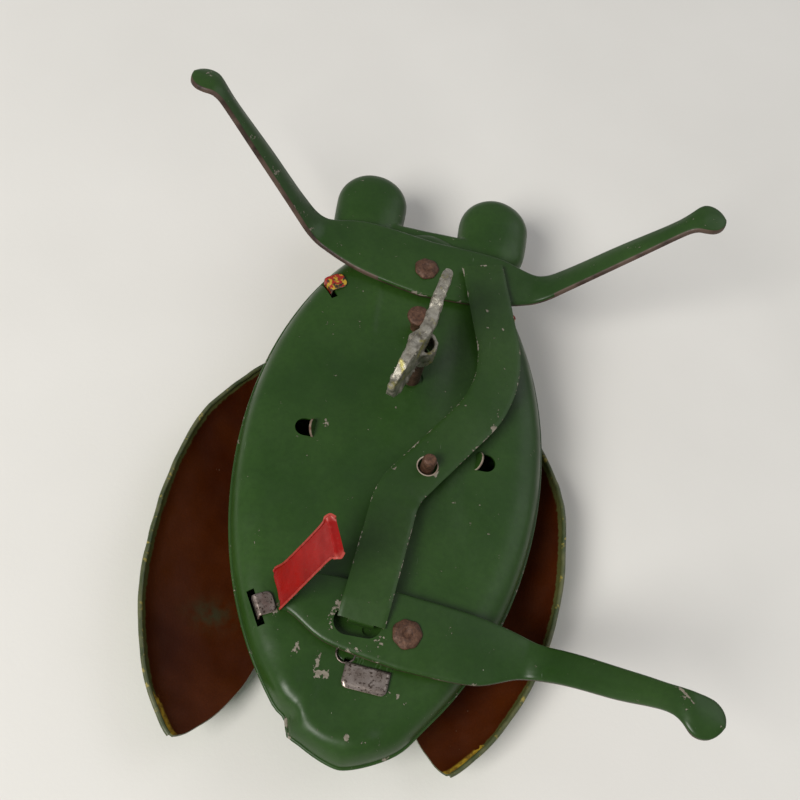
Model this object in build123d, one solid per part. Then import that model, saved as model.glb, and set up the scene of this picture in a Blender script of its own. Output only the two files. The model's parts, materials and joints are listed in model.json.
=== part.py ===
"""Wind-up tin beetle, lying on its back with the belly up.

Millimetres. The model is drawn about the beetle's own middle: +Y to the head, +X across the
belly and +Z out of the belly, with the flat middle of the belly pan at Z = 0. At the end every
piece is moved so that the origin lies under the middle of the toy, on the surface it lies on.
"""
import os
from math import asin, atan2, cos, degrees, hypot, pi, radians, sin

from build123d import *

# ---------------------------------------------------------------- sheet metal and body outline
TIN = 0.4                       # thickness of the pressed tinplate
WIDEST_Y = -2.0                 # where the body is widest
FRONT_POWER = 1.17              # powers above 1 draw the ends of the outline to a point
TAIL_POWER = 1.28
RIM_Z = -4.5                    # seam between the belly pan and the back shell
BODY = {"wide": 27.0, "front": 49.7, "tail": 53.0, "deep": 12.0}     # half width, reaches, depth
WING_DOME = {"wide": 29.4, "front": 52.0, "tail": 57.8, "deep": 13.6}    # outside of the wing covers
PAN_STEPS = [(RIM_Z, 0.0), (-2.6, 0.45), (-1.1, 1.6), (-0.25, 3.6), (0.0, 5.6)]   # height, inset

EYE_X = 12.4
EYE_Y = 52.5
EYE_RADIUS = 7.1
EYE_DEPTH = 3.9                 # height of one eye half, from the seam
HEAD_FRONT_Y = 47.7
HEAD_DEPTH = 3.2
HEAD_PLAN = [(14.6, 34.0), (14.4, 41.0), (12.6, 46.2), (9.5, HEAD_FRONT_Y)]      # right side, to the front

# ---------------------------------------------------------------- walking gear
FRONT_PIVOT = (0.0, 35.9)
REAR_PIVOT = (6.7, -34.0)
FRONT_TURN = -4.5               # how the front legs stand at rest, degrees about +Z
REAR_TURN = -5.8
LEG_Z = 1.5                     # underside of the flat middle of a leg strip
LEG_SHEET = 0.45
FLANGE = 0.9                    # the turned-down edge of a leg strip
FOOT_Z = 24.0
FRONT_LEG = {"elbow": 23.0, "elbow_rise": 8.0, "reach": 50.2, "foot_rise": 13.8,
             "head_side": 6.9, "tail_side": 5.5, "waist": 2.2, "foot": 2.9}     # reaches and half widths
REAR_LEG = {"elbow": 22.4, "elbow_rise": 4.0, "reach": 45.5, "foot_rise": -8.4,
            "head_side": 6.6, "tail_side": 5.7, "waist": 2.25, "foot": 3.1}
BENT_FOLD = (-14.8, -30.9, LEG_Z + LEG_SHEET / 2)     # middle of the fold in the damaged left rear leg
BENT_ACROSS = (-0.397, 0.918, 0)        # along the fold
BENT_UP = Vector(7.7, 4.1, 24.3)        # where the bent leg points
BENT_LENGTH = 22.4
BENT_WIDE = 3.4                         # half width at the fold and at the foot
BENT_SLIM = 2.6                         # half width of the arm between them
BENT_LIP = 1.8                          # length of the foot's lip
BENT_LIP_TURN = -60
LEG_HOLE = 1.28
LEG_SHANK = 1.2
FRONT_SLOT = (9.4, 3.8)         # slots that take the folded ends of the link
REAR_SLOT = (7.8, 4.2)
REAR_SLOT_SHIFT = -0.5

CRANK = (3.7, -4.9)
CRANK_THROW = 2.0
PIN_RADIUS = 1.25
PIN_TOP = 6.9
LINK_Z = 3.4
LINK_SHEET = 0.45
LINK_WIDTH = 8.0
LINK_ROUTE = [(10.4, 37.8), (17.8, 13.3), (1.4, -10.6), (-0.9, -33.6)]
LINK_BENDS = [21.0, 11.0]
LINK_TAB = 4.2
LINK_TAB_BOTTOM = 1.0
RUNNING = 0.08                  # radial clearance of a shaft in its bearing

# ---------------------------------------------------------------- wings
WING_PIVOT = (7.0, 30.0)
LEFT_WING_TURN = -15.5
RIGHT_WING_TURN = 10.0
LEFT_WING_LENGTH = 1.0
RIGHT_WING_LENGTH = 0.9         # the right cover's end is worn and rolled in
WING_TAPER_Y = -20.0
WING_RIM_Z = -5.6
WING_POST = (2.5, 24.0)         # driving post of the right wing, wings closed
WING_POST_RADIUS = 0.8

# ---------------------------------------------------------------- clockwork
MODULE = 0.4
ARBOR = (0.8, 13.5)             # winding arbor, with the great wheel on it
GREAT_TEETH = 48
SECOND_PINION_TEETH = 12
SECOND_TEETH = 40
CRANK_PINION_TEETH = 10
CRANK_WHEEL_TEETH = 30
FLY_PINION_TEETH = 10
PLATE = 0.8
BELLY_PLATE_Z = -2.6
BACK_PLATE_Z = -11.8
GREAT_WHEEL_Z = -5.2
SECOND_WHEEL_Z = -7.4
CRANK_WHEEL_Z = -9.8
RATCHET_Z = -6.3
SLIDER_Z = -13.3
CAM_THROW = 0.45
CAM_RADIUS = 2.4
PITCH_GAP = 0.06                # extra distance between gear centres, for backlash
FLY_DIRECTION = radians(220)    # from the crank's shaft to the fly
ARBOR_RADIUS = 1.5
CRANK_ARBOR_RADIUS = 0.9
SECOND_ARBOR_RADIUS = 0.7
FLY_ARBOR_RADIUS = 0.6
POST_PLACES = [(-10.5, 19.5), (12.0, 19.5), (-13.0, -14.5), (13.0, -16.0)]
POST_RADIUS = 1.4
POST_SHANK = 0.8
SPRING_RADIUS = 8.4
SPRING_TURNS = 5.5
SPRING_START = 149.0            # direction of the spring's inner end, degrees
SPRING_BAND = 0.22
SPRING_BOTTOM = -10.8
SPRING_HEIGHT = 3.2
HOOK_POST_RADIUS = 0.8
CLICK_PIVOT = (ARBOR[0] + 6.4, ARBOR[1] + 3.4)
CLICK_STUD_RADIUS = 0.6
FRAME_RIVET = (-0.1, 24.1)      # stud that holds the clockwork to the belly
STUD_NECK = 0.8
STUD_HEAD = 1.7

# ---------------------------------------------------------------- tabs and lanced lugs
TAB_PLACES = [(-17.9, -33.4, 28.7, 3.6, 3.0), (17.9, -33.4, 151.3, 3.6, 3.0), (-17.4, 29.4, 35, 3.0, 3.4),
              (17.4, 29.4, 145, 3.0, 3.4), (1.6, -39.8, -93.6, 7.4, 4.0)]    # x, y, turn, width, reach
TAB_LOW = 0.05                  # faces of a tab folded flat on the belly
TAB_HIGH = 0.45
TAB_CORNER = 1.1
SLOT_WIDE = 1.2                 # slots in the pan that the tabs come through
NARROW_TAB = 5.0                # tabs narrower than this stand in slots with more room at the ends
SLOT_ROOM = 0.3
NARROW_SLOT_ROOM = 1.3
LANCE = (16.3, -0.3)            # middle of the round end of the right lanced hole
LANCE_RADIUS = 1.65
LANCE_EDGE = 14.7               # straight side of the hole
LUG_X = 14.5
LUG_RADIUS = 1.6
LUG_TOP = 1.6

# ---------------------------------------------------------------- key
KEY_BOTTOM = 8.4
BARREL_TOP = 13.4
BARREL_RADIUS = 2.6
BARREL_BORE = 1.6
ARBOR_TOP = 9.4
KEY_THICK = 1.7
KEY_FRONT_TURN = 80.9
KEY_REAR_TURN = -109.8
KEY_EAR = [(0.0, 19.7), (3.0, 20.0), (7.0, 21.0), (10.8, 20.0), (12.9, 16.8), (12.0, 13.0), (8.5, 10.4),
           (4.0, 10.0), (0.0, 10.4)]     # from the arbor outwards, and height


# ================================================================ helpers
def at(x, y, z=0.0):
    """A move to one place."""
    return Location((x, y, z))


def disc(x, y, z, radius, height):
    """An upright cylinder standing on height z."""
    return at(x, y, z + height / 2) * Cylinder(radius, height)


def block(low, high):
    """A box between two corners."""
    size = [b - a for a, b in zip(low, high)]
    middle = [(a + b) / 2 for a, b in zip(low, high)]
    return at(*middle) * Box(*size)


def headed_rivet(x, y, bottom, seat, top, shank, head):
    """A rivet with its shank from bottom to seat and a low round head above it."""
    dome = fillet(disc(x, y, seat, head, top - seat).edges().group_by(Axis.Z)[-1], (top - seat) * 0.6)
    return disc(x, y, bottom, shank, seat - bottom + 0.05) + dome


def place(turn, pivot):
    """Put a piece drawn about its own pivot where it stands at rest."""
    return Location((pivot[0], pivot[1], 0), (0, 0, turn))


def polar(reach, rise):
    """A point at a distance and an angle from +X."""
    return reach * cos(radians(rise)), reach * sin(radians(rise))


def turned(point, turn, pivot):
    """Where a point drawn about a pivot stands once the piece is turned."""
    a = radians(turn)
    return (pivot[0] + point[0] * cos(a) - point[1] * sin(a),
            pivot[1] + point[0] * sin(a) + point[1] * cos(a))


# ================================================================ pressed shells
def station(form, t, inset=0.0):
    """Half width and place along the length of a form's outline, by angle from its widest place."""
    reach, power = (form["front"], FRONT_POWER) if t > 0 else (form["tail"], TAIL_POWER)
    return (form["wide"] - inset) * abs(cos(t)) ** power, WIDEST_Y + (reach - inset) * sin(t)


def shrunk(form, by):
    """The same form drawn in by a wall's thickness."""
    return {name: size - by for name, size in form.items()}


def body_face(z, inset):
    """The beetle's outline at one height, drawn in by an inset on every side."""
    count = 28
    points = []
    for k in range(count):
        turn = 2 * pi * (k + 0.5) / count
        wide, y = station(BODY, asin(sin(turn)), inset)
        points.append((wide if cos(turn) > 0 else -wide, y))
    outline = Spline(*points, periodic=True)
    return at(0, 0, z) * make_face(outline)


def head_form(depth_sign, shrink):
    """The solid form of the neck and the two eye lobes on one side of the seam."""
    form = None
    for side in (-1, 1):
        lobe = disc(side * EYE_X, EYE_Y, 0, EYE_RADIUS - shrink, EYE_DEPTH - shrink)
        lobe = fillet(lobe.edges().group_by(Axis.Z)[-1], (EYE_DEPTH - shrink) * 0.9)
        form = lobe if form is None else form + lobe
    right = [(x - shrink, y - (shrink if y > HEAD_PLAN[0][1] else 0)) for x, y in HEAD_PLAN]
    left = [(-x, y) for x, y in reversed(right)]
    neck = extrude(make_face(Polyline(*right, *left, close=True)), HEAD_DEPTH - shrink)
    form += fillet(neck.edges().group_by(Axis.Z)[-1].sort_by(Axis.Y)[-3:], 1.6)
    if depth_sign < 0:
        form = mirror(form, Plane.XY)
    return at(0, 0, RIM_Z) * form


def pan_form(shrink):
    """The solid form of the belly pan, smaller all round by the sheet's thickness."""
    faces = [body_face(z - (shrink if z > RIM_Z else 0), inset + shrink) for z, inset in PAN_STEPS]
    return loft(faces)


def dome_form(form):
    """A rounded back below the seam: half ellipses strung along the length."""
    sections = []
    count = 11
    for k in range(count):
        t = radians(-86 + 172 * k / (count - 1))
        wide, y = station(form, t)
        arc = EllipticalCenterArc((0, 0), wide, form["deep"] * cos(t), start_angle=180, arc_size=180)
        section = make_face(Wire([arc, Line((wide, 0), (-wide, 0))]))
        sections.append(Plane((0, y, RIM_Z), x_dir=(1, 0, 0), z_dir=(0, -1, 0)) * section)
    return loft(sections)


def dome_z(x, y, form):
    """Height of a dome's surface at a point seen from above."""
    reach = form["front"] if y > WIDEST_Y else form["tail"]
    t = asin((y - WIDEST_Y) / reach)
    return RIM_Z - form["deep"] * cos(t) * (1 - (x / station(form, t)[0]) ** 2) ** 0.5


def lanced_hole(side):
    """The opening that a lanced lug leaves in the belly."""
    x, y = side * LANCE[0], LANCE[1]
    straight = side * LANCE_EDGE
    return disc(x, y, -2, LANCE_RADIUS, 4) + block((min(straight, x), y - LANCE_RADIUS, -2),
                                                   (max(straight, x), y + LANCE_RADIUS, 2))


def lanced_lug(side):
    """The half-round lug cut from the belly and stood on end beside its hole."""
    plate = Plane((side * LUG_X, LANCE[1], 0), x_dir=(0, 1, 0), z_dir=(1, 0, 0)) * Circle(LUG_RADIUS)
    lug = extrude(plate, TIN / 2, both=True)
    return lug & block((-2 * LUG_X, -2 * LUG_RADIUS, -0.3), (2 * LUG_X, 2 * LUG_RADIUS, LUG_TOP))


def fold_tab(x, y, direction, width, reach):
    """A tab of the back shell, stood up through the pan and folded over along its direction."""
    root = dome_z(x, y, BODY) + 0.35
    upright = block((-TIN / 2, -width / 2, root), (TIN / 2, width / 2, TAB_HIGH))
    flap = block((-TIN / 2, -width / 2, TAB_LOW), (reach, width / 2, TAB_HIGH))
    flap = fillet(flap.edges().filter_by(Axis.Z).group_by(Axis.X)[-1], TAB_CORNER)
    return Location((x, y, 0), (0, 0, direction)) * (upright + flap)


def tab_slot(x, y, direction, width):
    """The slot in the pan that a tab comes through, longer than the tab."""
    half = width / 2 + (NARROW_SLOT_ROOM if width < NARROW_TAB else SLOT_ROOM)
    slot = block((-SLOT_WIDE / 2, -half, RIM_Z + 0.5), (SLOT_WIDE / 2, half, 2))
    return Location((x, y, 0), (0, 0, direction)) * slot


def belly_pan():
    """The green underside: flat middle, rounded sides, neck and the lower halves of the eyes."""
    solid = pan_form(0) + head_form(1, 0)
    hollow = pan_form(TIN) + head_form(1, TIN)
    pan = solid - hollow
    pan -= disc(*CRANK, -2, CRANK_THROW + PIN_RADIUS + 0.3, 4)
    pan -= disc(*ARBOR, -2, 2.1, 4)
    for pivot in (FRONT_PIVOT, REAR_PIVOT):
        pan -= disc(*pivot, -4, LEG_SHANK, 6)
    pan -= disc(*FRAME_RIVET, -2, 1.0, 4)
    for side in (-1, 1):
        pan -= lanced_hole(side)
        pan += lanced_lug(side)
    for x, y, direction, width, _ in TAB_PLACES:
        pan -= tab_slot(x, y, direction, width)
    return pan


def back_shell():
    """The painted upper side, now lowest, with the tabs that hold the pan."""
    solid = dome_form(BODY) + head_form(-1, 0)
    hollow = dome_form(shrunk(BODY, TIN)) + head_form(-1, TIN)
    shell = solid - hollow
    for side, turn in ((-1, LEFT_WING_TURN), (1, RIGHT_WING_TURN)):
        pivot = (side * WING_PIVOT[0], WING_PIVOT[1])
        shell -= disc(*pivot, -25, 1.0, 20)
        shell -= disc(*wing_post_place(side, turn), -25, 2.4, 20)
    for tab in TAB_PLACES:
        shell += fold_tab(*tab)
    return shell


# ================================================================ wings
def wing_outline(length):
    """Plan of the right wing, closed, in the beetle's own place; length scales its rear part."""
    def rear(points):
        return [(x, y + min(y - WING_TAPER_Y, 0) * (length - 1)) for x, y in points]

    outer = rear([(9.0, 33.5), (17.5, 20.5), (23.6, 9.0), (26.9, -3.0), (26.7, -13.0), (25.0, -23.0),
                  (22.0, -33.0), (18.0, -41.5), (12.0, -50.0), (4.6, -56.3)])
    inner = rear([(2.0, -55.0), (-1.0, -49.0), (-2.6, -41.0), (-1.6, -31.0), (0.4, -21.0), (1.0, -12.0)])
    tip = ThreePointArc(outer[-1], rear([(3.0, -56.6)])[0], inner[0])
    shoulder = ThreePointArc((1.0, 24.0), (2.6, 31.2), (9.0, 33.5))
    return make_face(Wire([Spline(*outer), tip, Spline(*inner), Line(inner[-1], (1.0, 24.0)), shoulder]))


def wing_post_place(side, turn):
    """Where a wing's driving post stands at rest."""
    post = (side * (WING_POST[0] - WING_PIVOT[0]), WING_POST[1] - WING_PIVOT[1])
    return turned(post, turn, (side * WING_PIVOT[0], WING_PIVOT[1]))


def wing(side, turn, length):
    """A wing cover: a curved leaf cut from a dome just outside the back shell."""
    outer = dome_form(WING_DOME)
    inner = dome_form(shrunk(WING_DOME, TIN))
    leaf = (outer - inner) & (at(0, 0, -30) * extrude(wing_outline(length), 30 + WING_RIM_Z))
    leaf += disc(*WING_POST, SLIDER_Z - 4, WING_POST_RADIUS, 5.0) & outer
    leaf -= disc(*WING_PIVOT, -30, 1.0, 30)
    if side < 0:
        leaf = mirror(leaf, Plane.YZ)
    pivot = (side * WING_PIVOT[0], WING_PIVOT[1])
    return place(turn, pivot) * (at(-pivot[0], -pivot[1]) * leaf)


def wing_rivet(side):
    """The rivet a wing turns on, with its head on the outside of the wing."""
    x, y = side * WING_PIVOT[0], WING_PIVOT[1]
    outside = dome_z(*WING_PIVOT, WING_DOME) - 0.6
    inside = dome_z(*WING_PIVOT, BODY) + 1.1
    shank = disc(x, y, outside, 1.0 - RUNNING, inside - outside)
    head = fillet(disc(x, y, outside - 0.6, 2.0, 0.7).edges().group_by(Axis.Z)[0], 0.5)
    return shank + head + disc(x, y, inside, 1.9, 0.5)


# ================================================================ legs
def arm_plan(leg, shrink):
    """Half of a leg strip seen from above: swelling middle, slim arm, round foot."""
    upper, lower = leg["head_side"] - shrink, leg["tail_side"] - shrink
    waist, foot = leg["waist"] - shrink, leg["foot"] - shrink
    reach = leg["reach"] - shrink
    ex, ey = polar(leg["elbow"], leg["elbow_rise"])
    fx, fy = polar(reach, leg["foot_rise"])
    along = atan2(fy - ey, fx - ex)
    length = hypot(fx - ex, fy - ey)

    def beside(share, off):
        return (ex + share * length * cos(along) - off * sin(along),
                ey + share * length * sin(along) + off * cos(along))

    ankle = 1 - foot / length
    neck = 1 - 2.3 * leg["foot"] / length
    head_side = Spline((-0.6, upper), (ex * 0.55, ey * 0.45 + upper * 0.86), beside(0, waist * 1.25),
                       beside(0.45, waist), beside(neck, waist * 0.9), beside(ankle, foot))
    tip = ThreePointArc(beside(ankle, foot), beside(1, 0), beside(ankle, -foot))
    tail_side = Spline(beside(ankle, -foot), beside(neck, -waist * 0.9), beside(0.45, -waist),
                       beside(0, -waist * 1.3), (ex * 0.55, ey * 0.45 - lower * 0.94), (-0.6, -lower))
    return make_face(Wire([head_side, tip, tail_side, Line((-0.6, -lower), (-0.6, upper))]))


def ribbon(leg, thick):
    """The bent side view of a leg strip, as wide as need be: flat, then rising to the foot."""
    path = FilletPolyline((-leg["elbow"] * 2, LEG_Z), (leg["elbow"] * 0.96, LEG_Z),
                          (leg["reach"] - 6.6, FOOT_Z), (leg["reach"] + 3.0, FOOT_Z), radius=[5.0, 3.0])
    band = Plane.XZ * trace(path, thick)
    return extrude(band, 30, both=True)


def leg_strip(leg):
    """A leg strip's half in bent sheet, with its edges turned down."""
    tall = at(0, 0, -5) * extrude(arm_plan(leg, 0), 40)
    core = at(0, 0, -6) * extrude(arm_plan(leg, LEG_SHEET), 42)
    sheet = tall & (at(0, 0, LEG_SHEET / 2) * ribbon(leg, LEG_SHEET))
    edge = (tall - core) & (at(0, 0, -FLANGE / 2 + 0.1) * ribbon(leg, FLANGE))
    return sheet + edge


def front_legs():
    """Both front legs in one strip that turns on its middle rivet."""
    half = leg_strip(FRONT_LEG)
    strip = half + mirror(half, Plane.YZ)
    strip -= disc(0, 0, -2, LEG_HOLE, 8)
    strip = place(FRONT_TURN, FRONT_PIVOT) * strip
    return strip - link_slot(LINK_ROUTE[0], 0.0, FRONT_SLOT)


def link_slot(end, shift, size):
    """The slot that takes a folded end of the connecting link."""
    return at(end[0] + shift, end[1], -2) * extrude(SlotOverall(*size), 6)


def rear_legs():
    """Both rear legs in one strip; the left one has been bent up over the belly."""
    flat = at(0, 0, LEG_Z) * extrude(mirror(arm_plan(REAR_LEG, 0), Plane.YZ), LEG_SHEET)
    strip = leg_strip(REAR_LEG) + (flat & block((-40, -20, 0), (1, 20, 9)))
    strip -= disc(0, 0, -2, LEG_HOLE, 8)
    strip = place(REAR_TURN, REAR_PIVOT) * strip
    fold = Plane(BENT_FOLD, x_dir=BENT_ACROSS, z_dir=(0, 0, 1))
    beyond = fold * block((-15, 0, -3), (15, 30, 12))
    strip -= beyond
    strip += bent_leg()
    return strip - link_slot(LINK_ROUTE[-1], REAR_SLOT_SHIFT, REAR_SLOT)


def bent_leg():
    """The damaged left rear leg, standing up from its fold and leaning across the belly."""
    across = Vector(*BENT_ACROSS) * -1
    normal = across.cross(BENT_UP).normalized()
    plane = Plane(BENT_FOLD, x_dir=across, z_dir=normal)
    right = [(BENT_WIDE, BENT_LENGTH), (BENT_SLIM, BENT_LENGTH * 0.75), (BENT_WIDE - 0.4, 6.0),
             (BENT_WIDE, -0.2)]
    left = [(-x, y) for x, y in reversed(right)]
    arm = extrude(plane * make_face(Polyline(*left, *right, close=True)), LEG_SHEET / 2, both=True)
    top = Plane(plane.from_local_coords((0, BENT_LENGTH, 0)), x_dir=across,
                z_dir=normal.rotate(Axis((0, 0, 0), tuple(across)), BENT_LIP_TURN))
    lip = make_face(Polyline((-BENT_WIDE, -0.2), (-BENT_SLIM, BENT_LIP), (BENT_SLIM, BENT_LIP),
                             (BENT_WIDE, -0.2), close=True))
    return arm + extrude(top * lip, LEG_SHEET / 2, both=True)


def leg_rivet(pivot, head):
    """The rivet a leg strip turns on."""
    foot = disc(*pivot, -1.6, 2.0, 0.7)
    seat = LEG_Z + LEG_SHEET + 0.12
    return headed_rivet(*pivot, -1.6, seat, seat + 1.08, LEG_SHANK, head) + foot


def leg_washer(pivot):
    """The spacer that keeps a leg strip off the belly."""
    return disc(*pivot, 0.1, 2.6, LEG_Z - 0.25) - disc(*pivot, -1, LEG_HOLE, 4)


# ================================================================ connecting link and crank
def connecting_link():
    """The crooked strip that pushes both leg strips from the crank pin."""
    route = FilletPolyline(*LINK_ROUTE, radius=LINK_BENDS)
    strip = at(0, 0, LINK_Z) * extrude(trace(route, LINK_WIDTH), LINK_SHEET)
    for end, inner in ((LINK_ROUTE[0], LINK_ROUTE[1]), (LINK_ROUTE[-1], LINK_ROUTE[-2])):
        heading = degrees(atan2(end[1] - inner[1], end[0] - inner[0])) - 90
        tab = block((-LINK_TAB / 2, -LINK_SHEET, LINK_TAB_BOTTOM), (LINK_TAB / 2, 0, LINK_Z + LINK_SHEET))
        strip += Location((end[0], end[1], 0), (0, 0, heading)) * tab
    return strip - disc(*crank_pin_place(), 0, PIN_RADIUS + RUNNING, 10)


def crank_pin_place():
    """The crank pin's middle at rest, at the middle of its stroke."""
    return (CRANK[0] + CRANK_THROW, CRANK[1])


def crank_disc():
    """The disc under the belly that carries the crank pin."""
    return disc(*CRANK, -1.5, 3.6, 0.8)


def crank_pin():
    """The pin that comes up through the belly and the link."""
    return disc(*crank_pin_place(), -0.7, PIN_RADIUS, PIN_TOP + 0.7)


def crank_arbor():
    """The crank's shaft, through both plates."""
    return disc(*CRANK, -13.6, CRANK_ARBOR_RADIUS, 12.1)


# ================================================================ clockwork
def gear(teeth, thick, bore):
    """A small pressed gear with flat-topped teeth."""
    tip = MODULE * (teeth + 2) / 2
    root = MODULE * (teeth - 2.4) / 2
    points = []
    for k in range(teeth):
        for share, radius in ((-0.27, root), (-0.12, tip), (0.12, tip), (0.27, root)):
            angle = 2 * pi * (k + share) / teeth
            points.append((radius * cos(angle), radius * sin(angle)))
    wheel = extrude(make_face(Polyline(*points, close=True)), thick)
    return wheel - Cylinder(bore, 20)


def mesh_place(centre_a, reach_a, centre_b, reach_b, side):
    """The point at two given distances from two centres, on one side of the line between them."""
    dx, dy = centre_b[0] - centre_a[0], centre_b[1] - centre_a[1]
    span = hypot(dx, dy)
    along = (reach_a ** 2 - reach_b ** 2 + span ** 2) / (2 * span)
    off = side * (reach_a ** 2 - along ** 2) ** 0.5
    return (centre_a[0] + (along * dx - off * dy) / span, centre_a[1] + (along * dy + off * dx) / span)


def mesh_turn(centre, teeth, mate_centre, mate_teeth, mate_turn):
    """The turn that puts a gap of this gear on the tooth its mate points at it, or the reverse."""
    towards = degrees(atan2(mate_centre[1] - centre[1], mate_centre[0] - centre[0]))
    mate_phase = ((towards + 180 - mate_turn) / (360 / mate_teeth)) % 1
    return towards + (mate_phase + 0.5) * 360 / teeth


GREAT_TO_SECOND = MODULE * (GREAT_TEETH + SECOND_PINION_TEETH) / 2 + PITCH_GAP
SECOND_TO_CRANK = MODULE * (SECOND_TEETH + CRANK_PINION_TEETH) / 2 + PITCH_GAP
CRANK_TO_FLY = MODULE * (CRANK_WHEEL_TEETH + FLY_PINION_TEETH) / 2 + PITCH_GAP
SECOND = mesh_place(ARBOR, GREAT_TO_SECOND, CRANK, SECOND_TO_CRANK, 1)
FLY = (CRANK[0] + CRANK_TO_FLY * cos(FLY_DIRECTION), CRANK[1] + CRANK_TO_FLY * sin(FLY_DIRECTION))
SECOND_TURN = mesh_turn(SECOND, SECOND_PINION_TEETH, ARBOR, GREAT_TEETH, 0)
CRANK_GEAR_TURN = mesh_turn(CRANK, CRANK_PINION_TEETH, SECOND, SECOND_TEETH, SECOND_TURN)
FLY_TURN = mesh_turn(FLY, FLY_PINION_TEETH, CRANK, CRANK_WHEEL_TEETH, CRANK_GEAR_TURN)
HOOK_ANGLE = radians(SPRING_START + 360 * SPRING_TURNS)
HOOK_REACH = SPRING_RADIUS + SPRING_BAND / 2 + HOOK_POST_RADIUS + 0.02
HOOK_POST = (ARBOR[0] + HOOK_REACH * cos(HOOK_ANGLE), ARBOR[1] + HOOK_REACH * sin(HOOK_ANGLE))


def spun(shape, centre, turn, z):
    """Stand a wheel on its arbor at one height, turned into mesh."""
    return Location((centre[0], centre[1], z), (0, 0, turn)) * shape


def great_wheel():
    """The wheel that the mainspring turns, loose on the winding arbor."""
    return spun(gear(GREAT_TEETH, 0.8, ARBOR_RADIUS + RUNNING), ARBOR, 0, GREAT_WHEEL_Z)


def frame_plate(z):
    """One of the two plates that the wheels run between."""
    corners = [(POST_PLACES[k][0] * 1.14, POST_PLACES[k][1] * 1.1) for k in (0, 1, 3, 2)]
    plate = at(0, 0, z) * extrude(make_face(Polyline(*corners, close=True)), PLATE)
    bearings = [(CRANK, CRANK_ARBOR_RADIUS), (ARBOR, ARBOR_RADIUS), (SECOND, SECOND_ARBOR_RADIUS),
                (FLY, FLY_ARBOR_RADIUS)]
    for centre, radius in bearings:
        plate -= disc(*centre, z - 1, radius + RUNNING, 3)
    for post in POST_PLACES:
        plate -= disc(*post, z - 1, POST_SHANK, 3)
    return plate


def belly_plate():
    """The plate next to the belly, riveted to the pan."""
    return frame_plate(BELLY_PLATE_Z) - disc(*FRAME_RIVET, -5, 1.0, 5)


def back_plate():
    """The plate next to the back."""
    return frame_plate(BACK_PLATE_Z) - disc(*HOOK_POST, -15, HOOK_POST_RADIUS, 8)


def frame_posts():
    """The four shouldered posts that hold the plates apart."""
    posts = []
    for x, y in POST_PLACES:
        body = disc(x, y, BACK_PLATE_Z + PLATE, POST_RADIUS, BELLY_PLATE_Z - BACK_PLATE_Z - PLATE)
        shank = disc(x, y, BACK_PLATE_Z - 0.3, POST_SHANK, BELLY_PLATE_Z - BACK_PLATE_Z + PLATE + 0.6)
        posts.append(body + shank)
    return Compound(children=posts)


def spring_post():
    """The post that the mainspring's outer end hooks on."""
    top = SPRING_BOTTOM + SPRING_HEIGHT
    return disc(*HOOK_POST, BACK_PLATE_Z - 0.3, HOOK_POST_RADIUS, top - BACK_PLATE_Z + 0.3)


def frame_rivet():
    """The stud that holds the clockwork's plate to the belly, with its flared head standing outside."""
    spacer = disc(*FRAME_RIVET, BELLY_PLATE_Z + PLATE, 1.8, -TIN - BELLY_PLATE_Z - PLATE)
    shank = disc(*FRAME_RIVET, BELLY_PLATE_Z - 0.3, 1.0, 3.2)
    flare = at(*FRAME_RIVET, 1.9) * Cone(STUD_NECK, STUD_HEAD, 3.8)
    head = disc(*FRAME_RIVET, 3.7, STUD_HEAD, 1.0)
    return spacer + shank + flare + fillet(head.edges().group_by(Axis.Z)[-1], 0.6)


def mainspring():
    """The coiled strip that stores the winding, from the arbor to its post."""
    steps = 60
    sides = []
    for off in (-SPRING_BAND / 2, SPRING_BAND / 2):
        points = []
        for k in range(steps + 1):
            share = k / steps
            radius = 1.62 + (SPRING_RADIUS - 1.62) * share + off
            angle = radians(SPRING_START + 360 * SPRING_TURNS * share)
            points.append((radius * cos(angle), radius * sin(angle)))
        sides.append(points)
    inner, outer = sides
    rim = [Spline(*inner), Line(inner[-1], outer[-1]), Spline(*outer), Line(outer[0], inner[0])]
    return at(*ARBOR, SPRING_BOTTOM) * extrude(make_face(Wire(rim)), SPRING_HEIGHT)


def second_wheel():
    """The middle wheel of the train."""
    return spun(gear(SECOND_TEETH, 0.7, SECOND_ARBOR_RADIUS), SECOND, SECOND_TURN, SECOND_WHEEL_Z)


def second_pinion():
    """The pinion that the great wheel drives, on the middle arbor."""
    pinion = gear(SECOND_PINION_TEETH, 1.6, SECOND_ARBOR_RADIUS)
    return spun(pinion, SECOND, SECOND_TURN, GREAT_WHEEL_Z - 0.4)


def second_arbor():
    """The middle arbor."""
    height = BELLY_PLATE_Z - BACK_PLATE_Z + PLATE + 0.4
    return disc(*SECOND, BACK_PLATE_Z - 0.2, SECOND_ARBOR_RADIUS, height)


def crank_pinion():
    """The pinion on the crank's shaft."""
    pinion = gear(CRANK_PINION_TEETH, 1.6, CRANK_ARBOR_RADIUS)
    return spun(pinion, CRANK, CRANK_GEAR_TURN, SECOND_WHEEL_Z - 0.4)


def crank_wheel():
    """The wheel on the crank's shaft that spins the fly."""
    return spun(gear(CRANK_WHEEL_TEETH, 0.6, CRANK_ARBOR_RADIUS), CRANK, CRANK_GEAR_TURN, CRANK_WHEEL_Z)


def fly_pinion():
    """The pinion and arbor of the fly that holds back the speed."""
    pinion = spun(gear(FLY_PINION_TEETH, 1.4, 0.5), FLY, FLY_TURN, CRANK_WHEEL_Z - 0.4)
    arbor = disc(*FLY, BACK_PLATE_Z - 0.2, FLY_ARBOR_RADIUS, BELLY_PLATE_Z - BACK_PLATE_Z + PLATE + 0.4)
    return pinion + arbor


def fly_blade():
    """The two-bladed fan on the fly's arbor."""
    blade = block((-4.2, -0.2, 0), (4.2, 0.2, 4.0)) + disc(0, 0, 0, 1.1, 4.0)
    return spun(blade - Cylinder(FLY_ARBOR_RADIUS, 20), FLY, 25, SECOND_WHEEL_Z)


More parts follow.
